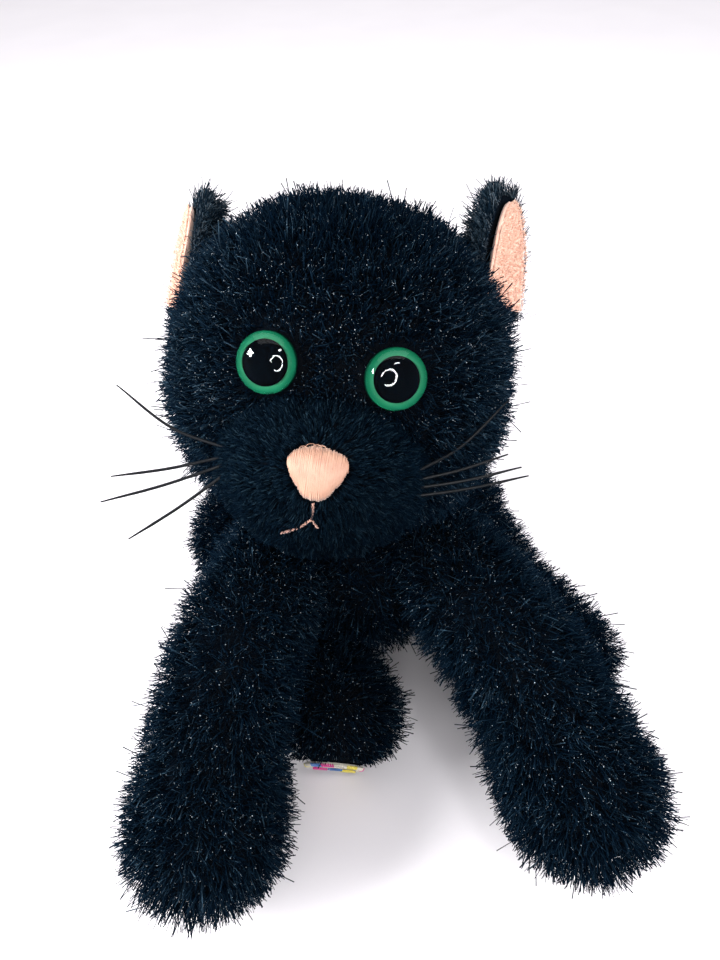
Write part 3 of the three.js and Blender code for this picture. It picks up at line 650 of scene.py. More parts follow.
def clear_of(points, others):
    """Moves points that lie inside other pieces out to their skin."""
    for name in others:
        distance, way = SOLIDS[name].outside(points)
        inside = distance < STRAND_CLEARANCE
        points[inside] += way[inside] * (STRAND_CLEARANCE - distance[inside])[:, None]
    return points


def strand_mesh(name, roots, middles, tips, widths, shares, ends, rings, crimp, rng):
    """Closed three-sided strands with blunt, slightly flared ends, as one mesh.

    Each strand takes one of the shades, and its cut end one of the end shades.
    """
    count = len(roots)
    curve = [
        roots * (1 - t) ** 2 + middles * 2 * t * (1 - t) + tips * t**2
        for t in np.linspace(0, 1, rings)
    ]
    along = unit(tips - roots)
    side = unit(np.cross(along, unit(rng.normal(size=(count, 3)))))
    other = np.cross(along, side)
    phase = rng.uniform(0, 2 * np.pi, count)
    for step in range(1, rings - 1):
        wave = np.sin(phase + step * 2.4) * crimp
        curve[step] = curve[step] + side * wave[:, None]
    for line in curve:
        line[:, 2] = np.maximum(line[:, 2], FLOOR_CLEARANCE + widths)
    flare = np.linspace(0.85, 1.15, rings)
    points = np.empty((count, rings * 3, 3))
    for step in range(rings):
        for corner in range(3):
            angle = corner * 2 * np.pi / 3
            ring = side * math.cos(angle) + other * math.sin(angle)
            points[:, step * 3 + corner] = curve[step] + ring * (widths * flare[step])[:, None]
    one = [(0, 2, 1)]
    for step in range(rings - 1):
        low, high = step * 3, step * 3 + 3
        for corner in range(3):
            follow = (corner + 1) % 3
            one.append((low + corner, low + follow, high + follow))
            one.append((low + corner, high + follow, high + corner))
    last = (rings - 1) * 3
    one.append((last, last + 1, last + 2))
    per_strand = rings * 3
    faces = np.array(one)[None] + (np.arange(count) * per_strand)[:, None, None]
    shade = np.repeat(rng.choice(len(shares), count, p=shares), len(one)).reshape(count, -1)
    if ends is not None:
        shade[:, -1] = len(shares) + rng.choice(len(ends), count, p=ends)
    mesh = bpy.data.meshes.new(name)
    mesh.vertices.add(count * per_strand)
    mesh.vertices.foreach_set("co", place(points.reshape(-1, 3)).astype(np.float32).ravel())
    loops = faces.reshape(-1)
    mesh.loops.add(len(loops))
    mesh.loops.foreach_set("vertex_index", loops.astype(np.int32))
    total = count * len(one)
    mesh.polygons.add(total)
    mesh.polygons.foreach_set("loop_start", np.arange(0, total * 3, 3, dtype=np.int32))
    smooth = np.ones((count, len(one)), bool)
    smooth[:, [0, -1]] = False
    return mesh, shade.ravel(), smooth.ravel()


PIECE_FACES = 180_000  # a piece of pile holds no more triangles


def grow_pile(name, body, mats, shares, roots, ways, lengths, widths, rng, *,
              per_clump=6, pull=0.3, rings=3, crimp=0.12, avoid=(), ends=None):
    """Pieces of pile from roots, the ways that the strands lean in and their lengths."""
    normals, lean = ways
    middles = roots + unit(normals + lean * 0.5) * (lengths * 0.5)[:, None]
    tips = roots + unit(normals + lean) * lengths[:, None]
    if per_clump:
        tips = clump_tips(roots, tips, per_clump, pull, rng)
    middles = clear_of(middles, avoid)
    tips = clear_of(tips, avoid)
    faces_each = 6 * (rings - 1) + 2
    parts = max(1, math.ceil(len(roots) * faces_each / PIECE_FACES))
    for part in range(parts):
        pick = slice(part, None, parts)
        piece_name = name if parts == 1 else f"{name}_{part + 1}"
        mesh, shade, smooth = strand_mesh(
            piece_name, roots[pick], middles[pick], tips[pick], widths[pick], shares, ends,
            rings, crimp, rng,
        )
        finish_piece(piece_name, mesh, mats, body, smooth, shade)


def grow_coat(name, body, roots, normals, lean, scale, rng, avoid, shares=PILE_SHARES):
    """The long black pile: a fine dense undercoat, with thicker and longer strands in it."""
    drift = np.stack([soft_waves(roots, 5, rng) for _ in range(3)], axis=1)
    lean = lean + drift * COAT_DRIFT
    thick = rng.random(len(roots)) < COAT["top"]["share"]
    for kind, these in (("under", ~thick), ("top", thick)):
        layer = COAT[kind]
        count = int(these.sum())
        lengths = LONG_PILE * scale[these] * rng.uniform(*layer["length"], count)
        stray = rng.random(count) < layer["strays"]
        lengths[stray] *= rng.uniform(*STRAY_LENGTH, stray.sum())
        widths = rng.uniform(*layer["radius"], count)
        away = lean[these] + rng.normal(size=(count, 3)) * layer["spread"]
        grow_pile(f"{name}_{kind}", body, BLACK_PILE + PILE_ENDS, shares,
                  roots[these], (normals[these], away), lengths, widths, rng,
                  per_clump=layer["per_clump"], pull=layer["pull"], rings=layer["rings"],
                  avoid=avoid, ends=END_SHARES)


def on_skin(roots, skin):
    """True for the roots that lie on the skin's mesh, and not over a part cut away."""
    tree = BVHTree.FromObject(skin, bpy.context.evaluated_depsgraph_get())
    places = place(roots)
    return np.array([tree.find_nearest(p, SKIN_REACH * MM)[0] is not None for p in places])


def outside_all(roots, others, margin):
    """True for the roots that lie outside the other pieces by more than the margin."""
    keep = np.ones(len(roots), bool)
    for name in others:
        keep &= SOLIDS[name].outside(roots)[0] > margin
    return keep


LONG_PILE = 5.7  # free length of the strands
COAT_DRIFT = 0.24  # how far neighbouring tufts lean in their own ways
COAT = {
    "under": {"length": (0.6, 1.0), "radius": (0.045, 0.085), "spread": 0.5, "strays": 0,
              "per_clump": 0, "pull": 0, "rings": 2},
    "top": {"share": 0.17, "length": (0.72, 1.12), "radius": (0.08, 0.135), "spread": 0.5,
            "strays": 0.06, "per_clump": 4, "pull": 0.4, "rings": 3},
}
STRAY_LENGTH = (1.25, 1.7)  # of the strays, times the length of the others
SKIN_REACH = 1.3  # a root further than this from the skin isn't on it
FLOOR_REACH = 12  # pile that would reach lower than this is pressed short
PRESSED = 0.3  # its length at the floor, of the full length
LIMB_LEAN = 0.3  # how far a limb's pile lies towards its end
DROOP = (0, 0, -0.08)
LIMB_OVERLAP = 0.4  # roots may stand this deep in a neighbour
BARE_BELOW = 0.6  # no root stands lower than this
SOLE_GAP = 0.2  # bare strip round the sole patch
FACE_PILE = {
    "lean": 0.2,  # away from the middle of the face
    "eye_gap": 0.25, "eye_reach": 5.0, "eye_short": 0.42, "eye_part": 0.9,
    "front_from": 12, "front_over": 18, "front_short": 0.28,
    "muzzle_gap": 0.2, "muzzle_reach": 5, "muzzle_short": 0.35,
    "side_from": 14, "side_over": 16,  # where the strands with painted light begin, and fill up over
}


def uneven(roots, rng):
    """Share of the full length that the pile has from place to place."""
    return 1 + 0.16 * soft_waves(roots, 6, rng)


def along_skin(ways, normals):
    """The same ways, laid flat on the skin."""
    return unit(ways - (ways * normals).sum(1, keepdims=True) * normals)


def limb_pile(name, body, surface, skin, density, seed, others):
    """Long pile over a leg, the tail or the torso, lying towards its end."""
    rng = np.random.default_rng(seed)
    roots, normals, flow = surface.scatter(int(surface.area() * density), rng)
    keep = on_skin(roots, skin) & outside_all(roots, others, -LIMB_OVERLAP)
    keep &= roots[:, 2] > BARE_BELOW
    if body == "hind_leg_right":
        keep &= beside_sole(roots)[0] > SOLE_GAP
    roots, normals, flow = roots[keep], normals[keep], flow[keep]
    scale = uneven(roots, rng)
    reach = roots[:, 2] + normals[:, 2] * LONG_PILE
    scale *= np.interp(reach, [0, FLOOR_REACH], [PRESSED, 1])
    ways = flow * LIMB_LEAN + np.array(DROOP)
    if body == "hind_leg_right":
        apart, outwards = beside_sole(roots)
        near = np.clip(1 - apart / SOLE["trim"], 0, 1)
        scale *= 1 - 0.75 * near
        ways = ways + outwards * near[:, None]
    # the front legs take the lighter mix of strands: painted light on them
    shares = LEG_SHARES if body.startswith("front_leg") else PILE_SHARES
    grow_coat(name, body, roots, normals, ways, scale, rng, others, shares)


def before_ears(points):
    """True for points in an ear, or close in front of its lining."""
    inside = np.zeros(len(points), bool)
    for side_name in SIDES:
        base, turn = ear_matrix(side_name)
        across, up, out = ((points - base) @ turn.T).T
        inside |= ((np.abs(across) < EAR["width"] / 2) & (up > 11) & (up < EAR["height"])
                   & (out > -EAR["cup"] - EAR["back"]) & (out < 9))
    return inside


def beside_eye(points, side):
    """Distance of points from an eye's axis, and the way out from it."""
    at, facing = eye_place(side)
    apart = points - at
    across = apart - (apart @ facing)[:, None] * facing
    return np.linalg.norm(across, axis=1), unit(across)


def head_pile(skin):
    """Long pile over the head. It stands away from the face and is short round the eyes."""
    rng = np.random.default_rng(101)
    face = FACE_PILE
    roots, normals, _ = skull.scatter(int(skull.area() * 3.5), rng)
    keep = on_skin(roots, skin) & (muzzle.outside(roots)[0] > face["muzzle_gap"])
    keep &= outside_all(roots, ("torso",), 0.5)
    for side in SIDES.values():
        keep &= beside_eye(roots, side)[0] > EYE["radius"] + face["eye_gap"]
    roots, normals = roots[keep], normals[keep]
    local = to_head(roots)
    middle = np.array((0, -skull.radii[1], -6))
    lean = along_skin(unit(turn_from_head(local - middle)), normals) * face["lean"]
    scale = uneven(roots, rng)
    front = np.clip((-local[:, 1] - face["front_from"]) / face["front_over"], 0, 1)
    scale *= 1 - face["front_short"] * front
    for side in SIDES.values():
        distance, outwards = beside_eye(roots, side)
        near = np.clip(1 - (distance - EYE["radius"]) / face["eye_reach"], 0, 1)
        scale *= 1 - face["eye_short"] * near
        lean += outwards * (near * face["eye_part"])[:, None]
    near_muzzle = np.clip(1 - muzzle.outside(roots)[0] / face["muzzle_reach"], 0, 1)
    scale *= 1 - face["muzzle_short"] * near_muzzle
    tips = roots + unit(normals + lean) * (LONG_PILE * scale)[:, None]
    clear = ~(before_ears(tips) | before_ears((roots + tips) / 2))
    # towards the sides of the head more strands take the lighter mix: painted light
    sideways = np.clip((np.abs(local[:, 0]) - face["side_from"]) / face["side_over"], 0, 1)
    side_lit = rng.random(len(roots)) < sideways
    for name, these, shares in (
        ("head_pile", clear & ~side_lit, PILE_SHARES),
        ("head_side_pile", clear & side_lit, SIDE_LIGHT_SHARES),
    ):
        grow_coat(name, "head", roots[these], normals[these], lean[these], scale[these], rng,
                  ("muzzle", "torso"), shares)


NAP = {"length": 2.1, "radius": 0.075, "density": 13, "lean": 1.15, "swirl": 0.5, "loose": 0.35}
NAP_SHARES = (0.55, 0.34, 0.11)


def muzzle_nap():
    """Short nap that lies away from the nose all over the muzzle."""
    rng = np.random.default_rng(202)
    count = int(muzzle.area() * 0.62 * NAP["density"])
    directions = rng.normal(size=(count, 3))
    directions[:, 1] = -np.abs(directions[:, 1]) + 0.25
    points, normals = muzzle.skin(directions)
    roots, normals = from_head(points), turn_from_head(normals)
    keep = (skull.outside(roots)[0] > 0.3) & ~under_nose(points)
    roots, normals, points = roots[keep], normals[keep], points[keep]
    count = len(roots)
    nose_at, _ = muzzle.front(*NOSE["middle"])
    flat = along_skin(unit(turn_from_head(points - nose_at)), normals)
    swirl = soft_waves(roots, 6, rng)[:, None] * np.cross(normals, flat)
    lean = flat * NAP["lean"] + swirl * NAP["swirl"] + rng.normal(size=(count, 3)) * NAP["loose"]
    lengths = NAP["length"] * rng.uniform(0.6, 1.2, count) * (1 + 0.18 * soft_waves(roots, 4, rng))
    widths = NAP["radius"] * rng.uniform(0.7, 1.3, count)
    grow_pile("muzzle_nap", "head", BLACK_NAP, NAP_SHARES, roots,
              (normals, lean), lengths, widths, rng, per_clump=7, pull=0.4, crimp=0.1)


# ------------------------------------------------------------------ face
def eye_place(side):
    """Where an eye's axis meets the head's cover, and the way that it looks."""
    at, facing = skull.front(side * EYE_AT[0], EYE_AT[1])
    return from_head(at), turn_from_head(facing)


def lathe(profile, at, axis, sides=64):
    """A turned solid: (radius, height) pairs about an axis. A radius of 0 is a pole."""
    axis = unit(axis)
    side = unit(np.cross(axis, (0.13, 0.21, 1)))
    up = np.cross(axis, side)
    angle = np.linspace(0, 2 * np.pi, sides, endpoint=False)
    points, rings = [], []
    for radius, height in profile:
        middle = np.asarray(at) + axis * height
        if radius == 0:
            rings.append([len(points)])
            points.append(middle)
            continue
        rings.append(list(range(len(points), len(points) + sides)))
        points += list(middle + radius * (side * np.cos(angle)[:, None] + up * np.sin(angle)[:, None]))
    faces = []
    for low, high in zip(rings, rings[1:]):
        for s in range(sides):
            follow = (s + 1) % sides
            corners = (low[s % len(low)], low[follow % len(low)],
                       high[follow % len(high)], high[s % len(high)])
            faces.append(tuple(dict.fromkeys(corners)))
    return np.array(points), faces


def make_eye(side_name):
    """Clear dome, painted green ring and black pupil on its post."""
    side = SIDES[side_name]
    at, facing = eye_place(side)
    radius, height, pupil = EYE["radius"], EYE["height"], EYE["pupil"]
    seat, disc = EYE["seat"], EYE["disc"]
    base = seat + disc + 0.2
    edge = 0.5
    dome = [(0, base), (radius, base)]
    for step in range(DOME_STEPS + 1):
        angle = step / DOME_STEPS * math.pi / 2
        dome.append((radius * math.cos(angle), base + edge + (height - edge) * math.sin(angle)))
    dome[-1] = (0, base + height)
    solid_piece(f"eye_{side_name}_dome", f"eye_lens_{side_name}",
                lathe(dome, at, facing, DOME_SIDES), DOME, "head")
    touch = base + 0.03  # the paint is on the back of the dome
    inner, outer = pupil - 0.1, radius + 0.02
    painted = [(across, touch) for across in np.linspace(outer, inner, 6)]
    ring = [(inner, seat), (outer, seat), *painted, (inner, seat)]
    iris = solid_piece(f"eye_{side_name}_iris", f"eye_iris_{side_name}",
                       lathe(ring, at, facing), IRIS, "head")
    shade = iris.data.color_attributes.new("shade", "FLOAT_COLOR", "POINT")
    for corner, paint in zip(iris.data.vertices, shade.data):
        apart = np.array(corner.co) / MM - SHIFT - at
        share = (np.linalg.norm(np.cross(apart, facing)) - inner) / (outer - inner)
        paint.color = [*(np.interp(share, [0, 0.35, 0.75, 1], level) for level in IRIS_SHADES), 1]
    top = base + EYE["rise"]
    black = [(0, -7), (1.2, -7), (1.6, -6.4), (1.6, seat - 0.05), (pupil, seat - 0.05),
             (pupil, top - 0.3), (pupil - 0.3, top), (0, top)]
    solid_piece(f"eye_{side_name}_pupil", f"eye_pupil_and_post_{side_name}",
                lathe(black, at, facing), PUPIL, "head")


def nose_half_width(height):
    """Half width of the nose at a height over its middle: wide above, tapering below."""
    half = NOSE["width"] / 2
    share = np.clip((np.asarray(height, float) - NOSE_FOOT) / (NOSE_TOP - NOSE_FOOT), 0, 1)
    shape = np.interp(share, [0, 0.03, 0.12, 0.25, 0.4, 0.58, 0.74, 0.86, 0.94, 1],
                      [0.16, 0.34, 0.48, 0.62, 0.82, 0.97, 0.99, 0.86, 0.62, 0.2])
    return half * shape


def under_nose(points):
    """True for muzzle points that the nose covers."""
    height = points[:, 2] - NOSE["middle"][1]
    inside = np.abs(points[:, 0] - NOSE["middle"][0]) < nose_half_width(height) - 0.25
    inside &= (height < NOSE_TOP - 0.1) & (height > NOSE_FOOT + 0.1)
    return inside & (points[:, 1] < MUZZLE["centre"][1])


def nose_span(x):
    """Lowest and highest height of the nose at a place across it."""
    heights = np.linspace(NOSE_FOOT, NOSE_TOP, 120)
    inside = heights[nose_half_width(heights) >= abs(x)]
    return (inside[0], inside[-1]) if len(inside) else None


def make_nose():
    """Satin stitch: upright threads side by side over a padded shape."""
    rng = np.random.default_rng(303)
    radius = NOSE["thread"] / 2
    across = np.arange(-NOSE["width"] / 2 + radius, NOSE["width"] / 2, NOSE["thread"] * 0.6)
    parts = []
    for x in across:
        span = nose_span(x)
        if span is None:
            continue
        low, high = span[0] - rng.uniform(-0.12, 0.3), span[1] + rng.uniform(-0.12, 0.22)
        heights = np.linspace(low, high, 12)
        share = np.linspace(-1, 1, 12)
        bulge = 0.95 * (1 - share**4) * math.sqrt(max(0.05, 1 - (x / (NOSE["width"] / 2)) ** 2 * 0.8))
        lean = rng.normal(0, 0.05)
        xs = NOSE["middle"][0] + x + lean * share + rng.normal(0, 0.02, 12)
        line = np.array([
            muzzle.front(at_x, NOSE["middle"][1] + h, 0.45 + b)[0]
            for at_x, h, b in zip(xs, heights, bulge)
        ])
        parts.append(tube(from_head(line), radius * rng.uniform(0.92, 1.1), sides=7))
    for _ in range(5):
        x = rng.uniform(-0.8, 0.5) * NOSE["width"] / 2
        top = nose_span(x)[1]
        turn = np.linspace(0, np.pi * rng.uniform(1.2, 1.7), 12)
        size = rng.uniform(0.5, 1.0)
        loop = np.array([
            muzzle.front(NOSE["middle"][0] + x + size * 1.3 * math.cos(a),
                         NOSE["middle"][1] + top + 0.1 + size * math.sin(a), 1.6)[0]
            for a in turn
        ])
        parts.append(tube(from_head(loop), 0.05, sides=5))
    solid_piece("nose_stitches", "nose_embroidery", joined(parts), PEACH_THREAD,
                "head")


def twisted_thread(line, radius, rng):
    """Two plies twisted round a line of head-frame points."""
    dense = smooth_path(line, 8)
    along = np.concatenate([[0], np.cumsum(np.linalg.norm(np.diff(dense, axis=0), axis=1))])
    tangent = unit(np.gradient(dense, axis=0))
    side = unit(np.cross(tangent, (0, -1, 0.2)))
    up = np.cross(side, tangent)
    plies = []
    for ply in range(2):
        angle = along * 2 * np.pi / 1.7 + ply * np.pi + rng.uniform(0, 0.3)
        off = side * np.cos(angle)[:, None] + up * np.sin(angle)[:, None]
        plies.append(tube(from_head(dense + off * radius * 0.55), radius * 0.62, sides=6))
    return plies


def make_mouth():
    """One upright stitch under the nose, and a branch to each side."""
    rng = np.random.default_rng(404)
    foot = NOSE["middle"][1] + NOSE_FOOT

    def stroke(steps, lift=1.0):
        return [muzzle.front(NOSE["middle"][0] + x, foot + z, lift)[0] for x, z in steps]

    parts = twisted_thread(stroke([(0, -0.6), (0.05, -2.4), (0, -4.4)]), 0.26, rng)
    parts += twisted_thread(stroke([(0, -4.1), (-1.8, -6), (-4, -7.8), (-5.8, -9.1)]), 0.3, rng)
    parts += twisted_thread(stroke([(0, -4.1), (0.6, -5), (1.3, -6)]), 0.26, rng)
    solid_piece("mouth_stitches", "mouth_thread", joined(parts), MOUTH_THREAD,
                "head")


def make_whiskers(side_name):
    """Four bristles; the top one bends upwards."""
    side = SIDES[side_name]
    for number, tip in enumerate(WHISKER_TIPS[side_name]):
        row = number - 1.5
        x = side * (muzzle.radii[0] * 0.9 - 0.4 * abs(row))
        root, _ = muzzle.front(x, muzzle.middle[2] + 1.5 - 1.6 * row)
        tip = np.array(tip, float)
        middle = (root + tip) / 2 + np.array((0, 0, -2.4 if number == 0 else -0.5))
        line = smooth_path([root, middle, tip], 12)
        radii = np.interp(np.linspace(0, 1, len(line)), [0, 0.75, 1], [0.33, 0.3, 0.15])
        solid_piece(f"bristle_{side_name}_{number + 1}", f"whisker_{side_name}_{number + 1}",
                    tube(from_head(line), radii), BRISTLE, "head")


# ------------------------------------------------------------------ ears
def ear_matrix(side_name):
    """Ear coordinates (across, up, outwards) to the stand frame."""
    ear = EARS[side_name]
    facing = unit(np.array(ear["facing"]))
    along = unit(np.cross(unit(np.array(ear["rise"])), facing))
    rise = np.cross(facing, along)
    return from_head(ear["base"]), turn_from_head(np.stack([along, rise, facing]))


def leaf_half(v, half=1):
    """Half width of the leaf at a share of its height, from its widest half width."""
    return half * (1 - 0.18 * v) * np.sqrt(np.maximum(0, 1 - v**3.2))


def leaf_points(u, v, width, height, lift):
    """Points of the cupped leaf: u from -1 to 1 across, v from 0 to 1 upwards."""
    x = u * leaf_half(v, width / 2)
    bend = -EAR["cup"] * (1 - (x / (width / 2)) ** 2) * (1 - 0.4 * v)
    return np.stack([x, v * height, bend + lift], axis=-1)


LEAF_TOP = 0.985  # just short of the leaf's point, where it has no width


def leaf_solid(width, height, thickness, lift):
    """A closed cupped leaf with rounded edges, as points and faces in the ear's frame."""
    rows, columns = 26, 22
    v = LEAF_TOP * np.linspace(0, 1, rows)[:, None] * np.ones((1, columns))
    u = np.linspace(-1, 1, columns)[None, :] * np.ones((rows, 1))
    edge = np.minimum(1 - np.abs(u), (LEAF_TOP - v) * 3)
    puff = np.sqrt(np.clip(edge * 6, 0.02, 1))
    middle = leaf_points(u, v, width, height, lift + thickness / 2)
    half = [0, 0, 1] * (puff * thickness / 2)[..., None]
    both = [(middle - half).reshape(-1, 3), (middle + half).reshape(-1, 3)]
    return np.vstack(both), sheet_faces(rows, columns)


EAR_BACK = (EAR["width"], EAR["height"])
EAR_LINING = (EAR["width"] - EAR["seam"][0], EAR["height"] - EAR["seam"][1])
EAR_HAIR = {"length": 5.4, "rim_length": 0.72, "strays": 0.06, "stray_length": 1.5,
            "back": 3600, "rim": 3000, "foot": 1400}
EAR_NAP = {"length": 0.7, "radius": 0.05, "count": 5200}


def on_ear(side_name, points):
    """Ear coordinates to the stand frame."""
    base, turn = ear_matrix(side_name)
    return base + np.asarray(points, float) @ turn


def off_head(points):
    """True for points that are clear of the head, where an ear's strands may stand."""
    return skull.outside(points)[0] > 0.6


def over_leaf(side_name, count, cut, lift, rng):
    """Points spread over the part of a leaf that is clear of the head."""
    v = rng.random(count * 2)
    v = v[rng.random(count * 2) < leaf_half(v)][:count]
    u = rng.uniform(-1, 1, len(v))
    points = on_ear(side_name, leaf_points(u, v, *cut, lift))
    return points[off_head(points)]


def ear_cloths(side_name):
    """The ear's two cloths, pushed out to the head's cover where they would enter it."""
    body = f"ear_{side_name}"
    for node, name, mat, slot, size, thick, lift in (
        (f"ear_back_{side_name}", f"{body}_back_skin", BACKING, "black_pile",
         EAR_BACK, EAR["back"], -EAR["back"]),
        (f"ear_lining_{side_name}", f"{body}_lining_cloth", LINING, "peach_nap",
         EAR_LINING, EAR["lining"], EAR["gap"]),
    ):
        points, faces = leaf_solid(*size, thick, lift)
        stand = on_ear(side_name, points)
        distance, way = skull.outside(stand)
        near = distance < EAR["off_head"]
        stand[near] += way[near] * (EAR["off_head"] - distance[near])[:, None]
        piece = solid_piece(name, node, (stand, faces), mat, body)


def ear_rim(side_name, rng):
    """Roots and ways of the strands that stand out from the ear's edge."""
    across, rise, facing = ear_matrix(side_name)[1]
    line = np.linspace(0, LEAF_TOP, 200)
    outline = leaf_points(1, line, *EAR_BACK, 0)
    run = np.concatenate([[0], np.cumsum(np.linalg.norm(np.diff(outline, axis=0), axis=1))])
    count = EAR_HAIR["rim"]
    v = np.interp(rng.uniform(0, run[-1], count), run, line)
    u = rng.choice((-1, 1), count)
    steep = np.interp(v, line, np.gradient(outline[:, 0], line * EAR["height"]))
    roots = on_ear(side_name, leaf_points(u, v, *EAR_BACK, rng.uniform(-EAR["back"], 0, count)))
    ways = unit(across * u[:, None] - rise * steep[:, None])
    ways = ways - facing * rng.uniform(0, 0.9, count)[:, None]
    free = off_head(roots)
    return roots[free], unit(ways[free])


def ear_foot(side_name, rng):
    """Roots and ways of the strands that hide the ear's straight foot."""
    across, rise, facing = ear_matrix(side_name)[1]
    count = EAR_HAIR["foot"]
    u = rng.uniform(-1, 1, count)
    lift = rng.uniform(-EAR["back"], EAR["lining"], count)
    roots = on_ear(side_name, leaf_points(u, np.zeros(count), *EAR_BACK, lift))
    ways = across * u[:, None] * 0.4 - rise - facing * 0.3
    free = off_head(roots)
    return roots[free], unit(ways[free])


def make_ear(side_name):
    """Pile-covered back and short-napped lining, both cut off where they meet the head."""
    rng = np.random.default_rng(505 + SIDES[side_name])
    _, rise, facing = ear_matrix(side_name)[1]
    body = f"ear_{side_name}"
    ear_cloths(side_name)
    back = over_leaf(side_name, EAR_HAIR["back"], EAR_BACK, -EAR["back"], rng)
    rim, rim_ways = ear_rim(side_name, rng)
    foot, foot_ways = ear_foot(side_name, rng)
    roots = np.vstack([back, rim, foot])
    normals = np.vstack([np.tile(-facing, (len(back), 1)), rim_ways, foot_ways])
    count = len(roots)
    lean = rise * 0.35 + rng.normal(size=(count, 3)) * 0.4
    lengths = EAR_HAIR["length"] * rng.uniform(0.5, 1.15, count)
    lengths[len(back):] *= EAR_HAIR["rim_length"]
    lengths[rng.random(count) < EAR_HAIR["strays"]] *= EAR_HAIR["stray_length"]
    widths = rng.uniform(0.045, 0.1, count)
    grow_pile(f"{body}_pile", body, EAR_PILE, (0.5, 0.36, 0.14), roots,
              (normals, lean), lengths, widths, rng, avoid=("head",))
    roots = over_leaf(side_name, EAR_NAP["count"], EAR_LINING, EAR["gap"] + EAR["lining"], rng)
    count = len(roots)
    lean = rise * 0.9 + rng.normal(size=(count, 3)) * 0.55
    lengths = EAR_NAP["length"] * rng.uniform(0.6, 1.2, count)
    widths = EAR_NAP["radius"] * rng.uniform(0.7, 1.2, count)
    grow_pile(f"{body}_lining_nap", body, PEACH_NAP, (0.3, 0.4, 0.3), roots,
              (np.tile(facing, (count, 1)), lean), lengths, widths, rng, per_clump=5, crimp=0.05)


def lining_cloth():
    mat, shader = principled("lining_cloth", (0.92, 0.62, 0.48), 0.9, Sheen_Weight=0.5)
    blush = texture_of(mat, "ShaderNodeTexNoise", Scale=0.25, Detail=4.0)
    colour_between(mat, shader, blush.outputs["Fac"], [
        (0.3, (0.73, 0.40, 0.30)), (0.65, (0.77, 0.50, 0.40)),
    ])
    fuzz = texture_of(mat, "ShaderNodeTexNoise", Scale=4.0, Detail=3.0)
    add_bump(mat, shader, fuzz.outputs["Fac"], 0.5, 0.2)
    return mat


LINING = lining_cloth()


# ------------------------------------------------------------------ sole patch and label
def sole_frame():
    normal = unit(np.array(SOLE["normal"]))
    paw = np.array(LIMBS["hind_leg_right"]["path"][-1], float)
    return paw + normal * SOLE["reach"], normal


def beside_sole(points):
    """How far points lie outside the sole patch's edge, and the way out from its middle."""
    at, normal = sole_frame()
    apart = points - at
    depth = apart @ normal
    flat = apart - depth[:, None] * normal
    return np.where(depth > -7, np.linalg.norm(flat, axis=1) - SOLE["radius"], 99), unit(flat)


def sole_turn(normal):
    """Sideways and upward directions in the plane of the sole."""
    quaternion = Vector((0, 0, 1)).rotation_difference(Vector(normal))
    matrix = np.array(quaternion.to_matrix())
    return matrix[:, 0], matrix[:, 1]


SOLE_CLOTHS = {
    "patch_cloth": PATCH,
    "thread_yellow": YELLOW_THREAD,
    "thread_pink": PINK_THREAD,
    "thread_blue": BLUE_THREAD,
}
EDGING = {"stitches": 84, "run": 6, "thread": 0.2}
EDGING_ORDER = ("patch_cloth", "thread_yellow", "patch_cloth", "thread_pink", "thread_blue")
SPOTS = (("pink", (-2.9, 1.6), 1.7), ("blue", (1.1, 2.6), 1.4), ("yellow", (3.1, -1.6), 1.8))
SPOT_ROW, SPOT_THREAD = 0.24, 0.15  # between rows of stitches, and a thread's radius


def make_sole():
    """A woven round patch with an overcast edge and three plain embroidered spots."""
    rng = np.random.default_rng(606)
    at, normal = sole_frame()
    side, up = sole_turn(normal)
    body = "hind_leg_right"
    low = 0.3
    top = low + SOLE["thickness"] - 0.25
    edge = SOLE["radius"] - 0.35
    profile = [(0, low), (edge, low), (edge, top), (edge * 0.6, top + 0.08), (0, top + 0.1)]
    patch = solid_piece("sole_patch_cloth", "sole_patch", lathe(profile, at, normal, 96), PATCH,
                        body)
    edging = {slot: [] for slot in SOLE_CLOTHS}
    count = EDGING["stitches"]
    for step in range(count):
        angle = step / count * 2 * math.pi
        way = side * math.cos(angle) + up * math.sin(angle)
        skew = (up * math.cos(angle) - side * math.sin(angle)) * 0.35
        inner = at + way * (edge - 0.9) + normal * (top + 0.1)
        crest = at + way * (edge - 0.1) + normal * (top + 0.26) + skew * 0.5
        outer = at + way * (edge + 0.24) + normal * (low + 0.35) + skew
        stitch = tube(smooth_path([inner, crest, outer], 3), EDGING["thread"], sides=6)
        edging[EDGING_ORDER[step // EDGING["run"] % len(EDGING_ORDER)]].append(stitch)
    sewn_on = [
        solid_piece(f"sole_edging_{slot}", None, joined(stitches), SOLE_CLOTHS[slot], body)
        for slot, stitches in edging.items()
    ]
    for name, (x, y), radius in SPOTS:
        middle = at + side * x + up * y + normal * (top + 0.5)
        parts = []
        for row in np.arange(-radius + SPOT_ROW / 2, radius, SPOT_ROW):
            half = math.sqrt(radius**2 - row**2) + rng.uniform(-0.06, 0.06)
            t = np.linspace(-1, 1, 7)
            line = (middle + side * row + up[None] * (half * t)[:, None]
                    + normal * (0.28 * (1 - t**2))[:, None])
            parts.append(tube(line, SPOT_THREAD, sides=6))
        slot = f"thread_{name}"
        sewn_on.append(solid_piece(f"sole_spot_{name}", f"sole_motif_{name}", joined(parts),
                                   SOLE_CLOTHS[slot], body))


